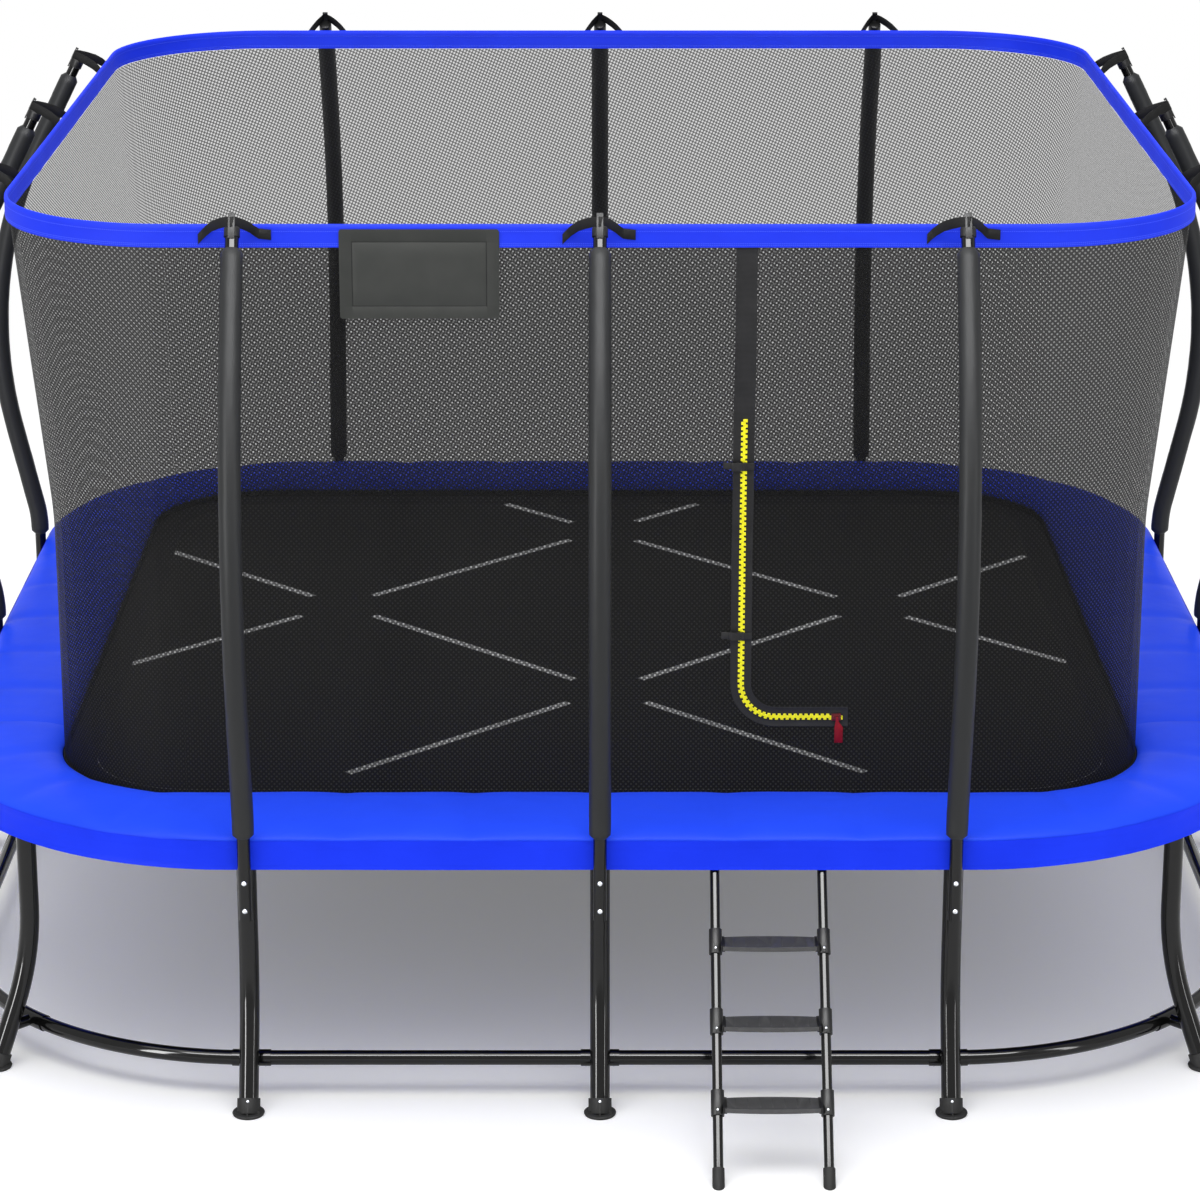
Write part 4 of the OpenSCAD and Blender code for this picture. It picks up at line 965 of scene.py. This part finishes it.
# %% Cap straps
def ribbon(name, lower, upper, thick, bevel=0.0004):
    """A strip of cloth between two drawn edges, thickened."""
    count = len(lower)
    faces = [(i, i + 1, count + i + 1, count + i) for i in range(count - 1)]
    obj = drawn(name, list(lower) + list(upper), [], faces)
    apply_modifier(obj, "SOLIDIFY", thickness=thick, offset=0)
    if bevel:
        apply_modifier(obj, "BEVEL", width=bevel, segments=1)
    smooth(obj, 50)
    return obj

cap_lean = pole_at(2.0121)[2]
up_pole = Vector((0, -math.sin(cap_lean), math.cos(cap_lean)))
left_leg = [(0.004, -1.8152, 2.509), (-0.010, -1.8125, 2.508), (-0.022, -1.797, 2.504),
            (-0.040, -1.774, 2.495), (-0.060, -1.745, 2.482), (-0.077, -1.7225, 2.466),
            (-0.090, -1.7105, 2.452), (-0.103, -1.7083, 2.438)]
right_leg = [(-0.004, -1.8166, 2.509), (0.008, -1.8130, 2.509), (0.017, -1.795, 2.502),
             (0.029, -1.770, 2.492), (0.043, -1.740, 2.477), (0.055, -1.7185, 2.462),
             (0.064, -1.7098, 2.454), (0.098, -1.7083, 2.450)]
STRAP_WIDE, STRAP_THICK = 0.0285, 0.0018
legs = []
for points in (left_leg, right_leg):
    upper = []
    for i, point in enumerate(points):
        share = i/(len(points) - 1)
        width = up_pole.lerp(Vector((0, 0, 1)), share).normalized()*STRAP_WIDE
        upper.append(tuple(Vector(point) + width))
    legs.append(ribbon("leg", points, upper, STRAP_THICK))
straps = all_round(joined(legs, "strap"), POLES_AT)
settle(joined(straps, "straps"), "cap_strap_webbing", "frame", "cap_straps", webbing)

# %% [markdown]
# ## Springs, rings and ties
# Each spring bridges the gap between a ring on the mat's hem and a hole in the rail. The places
# follow the rail: seven springs each way along a side and eight round each corner. The coil is a
# tiny triangle turned about the spring's axis with the screw modifier. It is modelled once, for the
# gap along a straight side, and each copy is drawn out to the length of its own gap.

# %% Where the springs sit
HOOK_IN = math.sqrt(0.024**2 - 0.0165**2)
RAIL_R = 0.94 - HOOK_IN           # of the hook holes round a corner of the rail, whose centre is at 1
HEM_R, RING_HIGH = 0.49, 0.7665
STRAIGHT_GAP = 0.2326             # the spring is modelled for a gap of this length
def spring_places():
    """A matrix for each spring, which puts it at its ring and draws it out, over the four sides."""
    steps = [0.12*i for i in range(1, 8)]
    rail = [(1 + RAIL_R, y) for y in steps + [-y for y in steps]]
    rail += [(1 + RAIL_R*math.cos(math.radians(a)), 1 + RAIL_R*math.sin(math.radians(a)))
             for a in (9, 17, 25, 33, 57, 65, 73, 81)]
    places = []
    for x, y in rail:
        if x > CORNER_AT and y > CORNER_AT:
            way = Vector((x - CORNER_AT, y - CORNER_AT)).normalized()
            start = Vector((CORNER_AT, CORNER_AT)) + way*HEM_R
        else:
            start = Vector((CORNER_AT + HEM_R, y)) if x > y else Vector((x, CORNER_AT + HEM_R))
        gap = Vector((x, y)) - start
        places.append((start, math.atan2(gap.y, gap.x), gap.length))
    return [quarter_turn(side) @ Matrix.Translation((start.x, start.y, RING_HIGH))
            @ Matrix.Rotation(angle, 4, "Z") @ Matrix.Diagonal((length/STRAIGHT_GAP, 1, 1, 1))
            for side in range(4) for start, angle, length in places]

def wire(name, points, radius, closed=False, sides=1):
    """Bent wire along drawn points, as a curve with a round section turned into a mesh."""
    curve = bpy.data.curves.new(name, "CURVE")
    curve.dimensions = "3D"
    curve.bevel_depth = radius
    curve.bevel_resolution = sides
    line = curve.splines.new("POLY")
    line.points.add(len(points) - 1)
    for point, co in zip(line.points, points):
        point.co = (*co, 1)
    line.use_cyclic_u = closed
    curve.use_fill_caps = not closed
    obj = bpy.data.objects.new(name, curve)
    bpy.context.scene.collection.objects.link(obj)
    only(obj)
    bpy.ops.object.convert(target="MESH")
    return bpy.context.object

COIL_TURNS, STEPS_A_TURN = 32, 8
coil = drawn("coil", [(0.0540, 0.0063, 0), (0.0566, 0.0063, 0), (0.0553, 0.0088, 0)],
             [(0, 1), (1, 2), (2, 0)])
apply_modifier(coil, "SCREW", axis="X", angle=2*math.pi*COIL_TURNS, screw_offset=0.123,
               steps=COIL_TURNS*STEPS_A_TURN, render_steps=COIL_TURNS*STEPS_A_TURN, use_smooth_shade=True)
hooks = [wire("hook", [(0.0555, 0.0072, 0), (0.050, 0.0055, 0.002), (0.0465, 0.001, 0.001), (0.0345, 0, 0),
                       (0.0318, 0, 0.0022), (0.0335, 0, 0.0045), (0.039, 0, 0.003)], 0.0013, sides=0),
         wire("hook", [(0.1765, 0.0072, 0), (0.182, 0.0055, 0.002), (0.186, 0.001, 0.001), (0.2302, 0, 0)],
              0.0013, sides=0)]
spring = joined([coil] + hooks, "spring")
smooth(spring, 60)
places = spring_places()
springs = [copied(spring, place) for place in places]
bpy.data.objects.remove(spring)
settle(joined(springs, "springs_wound"), "spring_coils", "frame", "springs", spring_wire)
print("springs", len(places))

# %% [markdown]
# A ring is a bent wire triangle. Its base is held by a short loop of webbing that comes out of the
# hem. Sixteen flat straps round the rail tie the cushions down, each between two springs.

# %% Rings, ring loops and ties
ring = wire("ring", [(0.0065, -0.0142, 0), (0.0065, 0.0142, 0), (0.0315, 0.0022, 0), (0.0315, -0.0022, 0)],
            0.0015, closed=True, sides=1)
smooth(ring, 50)
loop_tab = started(bpy.ops.mesh.primitive_cube_add, size=1, location=(0.0052, 0, 0))
loop_tab.scale = (0.0094, 0.0255, 0.0046)
bpy.ops.object.transform_apply(location=True, scale=True)
apply_modifier(loop_tab, "BEVEL", width=0.0014, segments=2)
smooth(loop_tab, 50)
squarely = [place @ Matrix.Diagonal((STRAIGHT_GAP/place.to_scale().x, 1, 1, 1)) for place in places]
rings = joined([copied(ring, place) for place in squarely], "rings")
tabs = joined([copied(loop_tab, place) for place in squarely], "tabs")
bpy.data.objects.remove(ring)
bpy.data.objects.remove(loop_tab)
settle(rings, "ring_wires", "frame", "v_rings", spring_wire)
settle(tabs, "ring_webbing_loops", "frame", None, webbing)

TIE_R, TIE_HALF, RAIL_OUT, RAIL_HIGH = 0.0253, 0.010, 1.94, 0.748
round_rail = [(TIE_R*math.sin(a), TIE_R*math.cos(a))
              for a in evenly(math.radians(-14), math.radians(-332), 20)]
tie_path = [(-0.0055, 0.0318)] + round_rail + [(-0.0105, 0.0318)]
tie_edges = [[(x, -RAIL_OUT + y, RAIL_HIGH + z) for y, z in tie_path] for x in (-TIE_HALF, TIE_HALF)]
ties = all_round(ribbon("tie", *tie_edges, 0.0012, 0), (-0.66, -0.282, 0.282, 0.66))
settle(joined(ties, "ties"), "pad_tie_webbing", "frame", "pad_ties", webbing)

# %% [markdown]
# ## The doorway
# The doorway is a slit in the net with a strip of black cloth sewn round it. The strip's section,
# a flat with a folded edge on each side, is drawn at the top. It is extruded down the leaning net,
# spun round the rounded corner and extruded along the level run, as the real strip is sewn.

# %% Binding round the doorway
DOOR_X, DOOR_R, DOOR_LOW = 0.405, 0.1, 1.030
def front_of_net(height, off=0.0):
    return -(net_out(height) + 0.0013 + off)

door_section = [(-0.030, 0.0016), (-0.0285, 0.0022), (-0.0265, 0.0018), (-0.0245, 0.0009), (-0.012, 0.0008),
                (0.0, 0.0008), (0.012, 0.0008), (0.0245, 0.0009), (0.0265, 0.0018), (0.0285, 0.0022),
                (0.030, 0.0016)]
top = 2.4275
binding = drawn("binding", [(DOOR_X + x, front_of_net(top, off), top) for x, off in door_section])
pick(binding, "verts", lambda c: True)
stations = evenly(top, 1.6, 22) + evenly(1.6, 1.48, 6)[1:] + evenly(1.48, DOOR_LOW + DOOR_R, 9)[1:]
for a, b in zip(stations, stations[1:]):
    extrude((0, net_out(a) - net_out(b), b - a))
bpy.ops.mesh.spin(steps=14, angle=SPIN_WAY*math.pi/2, axis=(0, -1, 0),
                  center=(DOOR_X + DOOR_R, -1.6, DOOR_LOW + DOOR_R))
for _ in range(7):
    extrude((0.03, 0, 0))
welded(binding, 0.0002)
for vertex in binding.data.vertices:
    vertex.co.x += 0.0016*noise.noise(Vector((0.3, 0.7, vertex.co.z*5)))
    vertex.co.y -= 0.0005*(1 + noise.noise(vertex.co*22))
apply_modifier(binding, "SOLIDIFY", thickness=0.0008, offset=0)
smooth(binding, 60)
settle(binding, "door_binding_cloth", "frame", "door_binding", binding_cloth)

# %% [markdown]
# The zip is a heavy moulded one. Its yellow teeth are blocks that alternate from side to side, so
# its edges look like a row of bites. One tooth is modelled and copied along the zip's path.

# %% Zip teeth
ZIP_TOP, ZIP_LENGTH, TOOTH_PITCH = 1.926, 1.145, 0.0155
def door_path(s):
    """Place and direction on the zip, s metres along from its upper end."""
    drop = ZIP_TOP - DOOR_LOW - DOOR_R
    if s < drop:
        return DOOR_X, ZIP_TOP - s, -math.pi/2
    s -= drop
    if s < DOOR_R*math.pi/2:
        a = math.pi + s/DOOR_R
        return DOOR_X + DOOR_R + DOOR_R*math.cos(a), DOOR_LOW + DOOR_R + DOOR_R*math.sin(a), a + math.pi/2
    return DOOR_X + DOOR_R + s - DOOR_R*math.pi/2, DOOR_LOW, 0.0

tooth = started(bpy.ops.mesh.primitive_cube_add, size=1)
tooth.scale = (0.0092, 0.0034, 0.0128)
bpy.ops.object.transform_apply(scale=True)
apply_modifier(tooth, "BEVEL", width=0.0009, segments=1)
teeth, s, side = [], 0.004, 1
while s < ZIP_LENGTH:
    x, z, angle = door_path(s)
    teeth.append(copied(tooth, Matrix.Translation((x, front_of_net(z, 0.0034), z))
                        @ Matrix.Rotation(-angle, 4, "Y") @ Matrix.Translation((0, 0, side*0.0028))))
    s, side = s + TOOTH_PITCH/2, -side
bpy.data.objects.remove(tooth)
zip_teeth = joined(teeth, "zip_teeth")
smooth(zip_teeth, 30)
yellow = moulded("yellow_acetal_teeth", "#fbf505", "#f0e400", 0.5, 1.0, 0.00005)
settle(zip_teeth, "zip_teeth", "frame", "zip_chain", yellow)
print("teeth", len(teeth))

# %% [markdown]
# The slider is a die-cast box with a dark red enamel, a bridge and a pin. The pull is a doubled tab
# of red webbing that hangs on the pin.

# %% Slider and pull
enamel = coated("dark_red_enamel", "#6e0a18", "#5c0713", 0.3, 1.2)
SLIDER_X, SLIDER_Y = 0.681, -1.6089
def block(name, low, high, bevel=0.0008):
    """A bevelled block between two corners, given from the middle of the slider."""
    low, high = [(SLIDER_X + x, SLIDER_Y + y, DOOR_LOW + z) for x, y, z in (low, high)]
    obj = started(bpy.ops.mesh.primitive_cube_add, size=1,
                  location=[(a + b)/2 for a, b in zip(low, high)])
    obj.scale = [abs(b - a) for a, b in zip(low, high)]
    bpy.ops.object.transform_apply(location=True, scale=True)
    apply_modifier(obj, "BEVEL", width=bevel, segments=2)
    smooth(obj, 40)
    obj.name = name
    return obj

blocks = [block("body", (-0.014, -0.0064, -0.0105), (0.014, -0.0036, 0.0105)),
          block("back", (-0.011, -0.0012, -0.0095), (0.011, -0.0002, 0.0095), 0.0003),
          block("wedge", (0.009, -0.006, -0.0095), (0.013, -0.0004, 0.0095))]
blocks += [block("lug", (x, -0.0112, -0.0045), (x + 0.003, -0.006, 0.0045)) for x in (-0.0085, 0.0055)]
slider = joined(blocks, "slider")
settle(slider, "zip_slider_box", "slider", "zip_slider", enamel)

hang_y = SLIDER_Y - 0.0084
pin = wire("pin", [(SLIDER_X + x, hang_y, DOOR_LOW) for x in (-0.0082, 0.0082)], 0.00092, sides=3)
smooth(pin, 50)
settle(pin, "zip_pull_pin", "pull", None, enamel)
fold = [(0, 0.0016), (-0.0019, 0.0006), (-0.0018, -0.012), (-0.0021, -0.030), (-0.0019, -0.052),
        (-0.0016, -0.0765), (0.0010, -0.0775), (0.0013, -0.055), (0.0016, -0.030), (0.0013, -0.012),
        (0.0018, 0.0006), (0, 0.0016)]
tab_edges = [[(SLIDER_X + x, hang_y + y, DOOR_LOW + z) for y, z in fold] for x in (-0.0045, 0.0195)]
tab = ribbon("tab", *tab_edges, 0.0009, 0.0002)
NECK_LOW, NECK_SHARE = 0.014, 0.36       # the tab narrows to this share where it passes the pin
for vertex in tab.data.vertices:
    if vertex.co.z > DOOR_LOW - NECK_LOW:
        vertex.co.x = SLIDER_X + (vertex.co.x - SLIDER_X)*NECK_SHARE
settle(tab, "zip_pull_tab", "pull", "zip_pull", red_webbing)

# %% [markdown]
# ## The blank panel
# A rectangle of grey vinyl hangs below the band. It is bare: only a stitched rectangle runs round
# it, and inside that line its face is pushed out a little and drawn in a slightly lighter grey.

# %% Panel
PANEL_LOW, PANEL_HIGH = Vector((-0.7173, -1.7100, 2.2292)), Vector((-0.2767, -1.7066, 2.4798))
panel = started(bpy.ops.mesh.primitive_plane_add, size=1, rotation=(math.pi/2, 0, 0))
panel.scale = (PANEL_HIGH.x - PANEL_LOW.x, PANEL_HIGH.z - PANEL_LOW.z, 1)
panel.location = ((PANEL_LOW.x + PANEL_HIGH.x)/2, -1.7082, (PANEL_LOW.z + PANEL_HIGH.z)/2)
bpy.ops.object.transform_apply(location=True, rotation=True, scale=True)
pick(panel, "verts", lambda c: True)
bpy.ops.mesh.bevel(affect="VERTICES", offset=0.008, segments=4)
STITCH_OUT, STITCH_IN = 0.0335, 0.0372        # the stitched line's edges, from the panel's edge
STITCH_MIDDLE = 0.0353
for depth in (STITCH_OUT, STITCH_MIDDLE, STITCH_IN, 0.08):
    for corner, way in ((PANEL_LOW, 1), (PANEL_HIGH, -1)):
        slice_at(corner + Vector((1, 0, 0))*way*depth, (1, 0, 0))
        slice_at(corner + Vector((0, 0, 1))*way*depth, (0, 0, 1))
for x in evenly(PANEL_LOW.x, PANEL_HIGH.x, 8)[1:-1]:
    slice_at((x, 0, 0), (1, 0, 0))
done(panel)

def from_edge(c):
    """How far a point on the panel is from its nearest edge."""
    return min(c.x - PANEL_LOW.x, PANEL_HIGH.x - c.x, c.z - PANEL_LOW.z, PANEL_HIGH.z - c.z)

for vertex in panel.data.vertices:
    if abs(from_edge(vertex.co) - STITCH_MIDDLE) < 0.0002:
        vertex.co.y += 0.0009
    elif from_edge(vertex.co) > 0.06:
        vertex.co.y -= 0.0006
    vertex.co.y += 0.0006*noise.noise(Vector((vertex.co.x*6, vertex.co.z*9, 2)))
apply_modifier(panel, "SOLIDIFY", thickness=0.0024, offset=0)
smooth(panel, 40)
panel_inner = woven("grey_panel_vinyl_inner", "#414240", "#393b39", 2.0, 0.48, 0.0001, 12.0, 0.001, 0.25)
panel_line = woven("grey_panel_stitch", "#2c2d2c", "#222322", 2.0, 0.6, 0.0001, 12.0, contrast=0.25)
for finish in (panel_cloth, panel_inner, panel_line):
    panel.data.materials.append(finish)
for face in panel.data.polygons:
    edge = from_edge(face.center)
    face.material_index = 0 if edge < STITCH_OUT else (2 if edge < STITCH_IN else 1)
settle(panel, "blank_panel_vinyl", "frame", "blank_panel")

# %% [markdown]
# ## Moulded parts with eased edges
# Moulded and bent parts never have knife edges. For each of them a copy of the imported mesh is
# merged, cleared of its flat triangles and bevelled at its sharp edges. The exact part stays where
# it is underneath, hidden, and the copy rides on the same body.

# %% Bevelled copies
def eased(node, name, body, slot, finish, width, segments=2, degrees=35):
    source = nodes[node]
    obj = bpy.data.objects.new(name, source.data.copy())
    obj.matrix_world = source.matrix_world
    bpy.context.scene.collection.objects.link(obj)
    only(obj)
    bpy.ops.object.transform_apply(location=True, rotation=True, scale=True)
    pick(obj, "faces", lambda c: True)
    bpy.ops.mesh.remove_doubles(threshold=0.00002)
    bpy.ops.mesh.dissolve_limited(angle_limit=math.radians(0.6))
    done(obj)
    apply_modifier(obj, "BEVEL", width=width, segments=segments, limit_method="ANGLE",
                   angle_limit=math.radians(degrees), use_clamp_overlap=True)
    smooth(obj, 40)
    obj.data.transform(Matrix.Translation((0, -MIDDLE_Y, 0)))
    return settle(obj, name, body, node, finish)

for node, body, slot, finish, width in [
        ("pole_caps", "frame", "black_plastic", black_plastic, 0.0012),
        ("pole_spacers", "frame", "black_plastic", black_plastic, 0.0015),
        ("tread_brackets", "ladder", "black_plastic", black_plastic, 0.0010),
        ("ladder_feet", "ladder", "rubber_foot", rubber, 0.0012),
        ("clip_sockets", "frame", "black_plastic", black_plastic, 0.0008),
        ("upper_clip_plug", "upper_plug", "black_plastic", black_plastic, 0.0008),
        ("lower_clip_plug", "lower_plug", "black_plastic", black_plastic, 0.0008),
        ("ladder_hooks", "ladder", "black_paint", powder_coat, 0.0008),
        ("foot_pads", "frame", "rubber_foot", rubber, 0.0012)]:
    piece = eased(node, node + "_eased", body, slot, finish, width)
    print(piece.name, len(piece.data.polygons), "faces")

# %% [markdown]
# ## The treads
# The treads are moulded trays of dark nylon with a turned-down lip. Their copies get rounder edges
# than the other mouldings, in three steps, because bare feet stand on them.

# %% Treads
eased("ladder_treads", "ladder_treads_eased", "ladder", "dark_tread", tread_plastic, 0.0016, 3)
low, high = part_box("ladder_treads")
print("treads span", [round(v, 3) for v in low], [round(v, 3) for v in high])

# %% [markdown]
# ## Better finishes on the exact parts
# The tubes, sockets, bolts and screws are already the right shape, so they keep their meshes and
# only get the finishes made above.

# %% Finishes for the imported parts
for finish, names in [
        (powder_coat, "top_rail_straights top_rail_corners rail_sockets side_legs corner_legs "
                      "base_rail_straights base_rail_corners lower_poles upper_poles ladder_rails base_tees"),
        (zinc, "foot_screws base_tee_screws pole_bolts pole_nuts tread_screws"),
        (glass_rod, "hoop_rods")]:
    for name in names.split():
        for slot in nodes[name].material_slots:
            slot.material = finish

# %% [markdown]
# ## A pale studio
# The floor is a plain pale sheet that fades into the white behind it. The world is white to the
# camera, and lights everything evenly; a wide soft box overhead adds the shadow under the mat. Two
# tall boxes stand in front at the left and right, and a long one hangs high in front. They only
# light glossy surfaces, to draw the thin highlights along the tubes.

# %% Floor, world and lights
floor_finish, floor_shader = new_finish("studio_floor", "#fafafa", 0.9, Emission_Strength=0.12,
                                        Emission_Color=(1, 1, 1, 1))
place = add_node(floor_finish, "TexCoord").outputs["Object"]
away = add_node(floor_finish, "VectorMath", {"operation": "LENGTH"}, {0: place})
fade = add_node(floor_finish, "MapRange", inputs={"Value": away.outputs["Value"], "From Min": 4.5,
                                                  "From Max": 9.0})
glow = add_node(floor_finish, "Emission", inputs={"Color": (1, 1, 1, 1), "Strength": 1.0})
blend = add_node(floor_finish, "MixShader", inputs={0: fade.outputs["Result"],
    1: floor_shader.outputs["BSDF"], 2: glow.outputs["Emission"]})
link(floor_finish, blend.outputs["Shader"], floor_finish.node_tree.nodes["Material Output"], "Surface")
floor = started(bpy.ops.mesh.primitive_circle_add, vertices=64, radius=40, fill_type="NGON",
                location=(0, 0, 0))
floor.name = "studio_floor"
floor.data.materials.append(floor_finish)

world = bpy.data.worlds.new("white_studio")
bpy.context.scene.world = world
world.use_nodes = True
world.node_tree.nodes.clear()
rays = add_node(world, "LightPath")
seen = add_node(world, "Math", {"operation": "MAXIMUM"}, {0: rays.outputs["Is Camera Ray"],
                                                          1: rays.outputs["Is Transmission Ray"]})
lit, white = [add_node(world, "Background", inputs={"Color": (1, 1, 1, 1), "Strength": strength})
              for strength in (0.82, 1.0)]
choice = add_node(world, "MixShader", inputs={0: seen.outputs["Value"], 1: lit.outputs["Background"],
                                              2: white.outputs["Background"]})
add_node(world, "OutputWorld", inputs={"Surface": choice.outputs["Shader"]})

def soft_box(name, place, aim, size, power):
    lamp = started(bpy.ops.object.light_add, type="AREA", location=place)
    lamp.name = name
    lamp.data.shape = "RECTANGLE"
    lamp.data.size, lamp.data.size_y = size
    lamp.data.energy = power
    lamp.rotation_euler = (Vector(aim) - Vector(place)).to_track_quat("-Z", "Y").to_euler()
    return lamp

soft_box("overhead_box", (-0.6, -1.5, 6.5), (0, 0, 0.6), (6.5, 6.0), 300)
for name, place, size, power in [("left_strip", (-5.2, -6.4, 2.4), (1.1, 4.4), 420),
                                 ("right_strip", (5.6, -5.4, 2.4), (0.6, 4.4), 120),
                                 ("high_front_strip", (0, -5.6, 6.6), (9.0, 2.2), 1250)]:
    lamp = soft_box(name, place, (0, -0.6, 0.9), size, power)
    lamp.visible_diffuse = False
print("lights placed")

# %% [markdown]
# ## The camera
# The camera stands about eleven and a half metres in front, four and a half metres up, and looks
# down at eighteen degrees, with a long lens.

# %% Camera
camera = started(bpy.ops.object.camera_add, location=(0, -11.471, 4.583),
                 rotation=(math.radians(72.38), 0, 0))
camera.name = "camera"
camera.data.sensor_width = 36
camera.data.lens = 111.06
camera.data.clip_end = 200
bpy.context.scene.camera = camera
bpy.context.scene.view_settings.view_transform = "Standard"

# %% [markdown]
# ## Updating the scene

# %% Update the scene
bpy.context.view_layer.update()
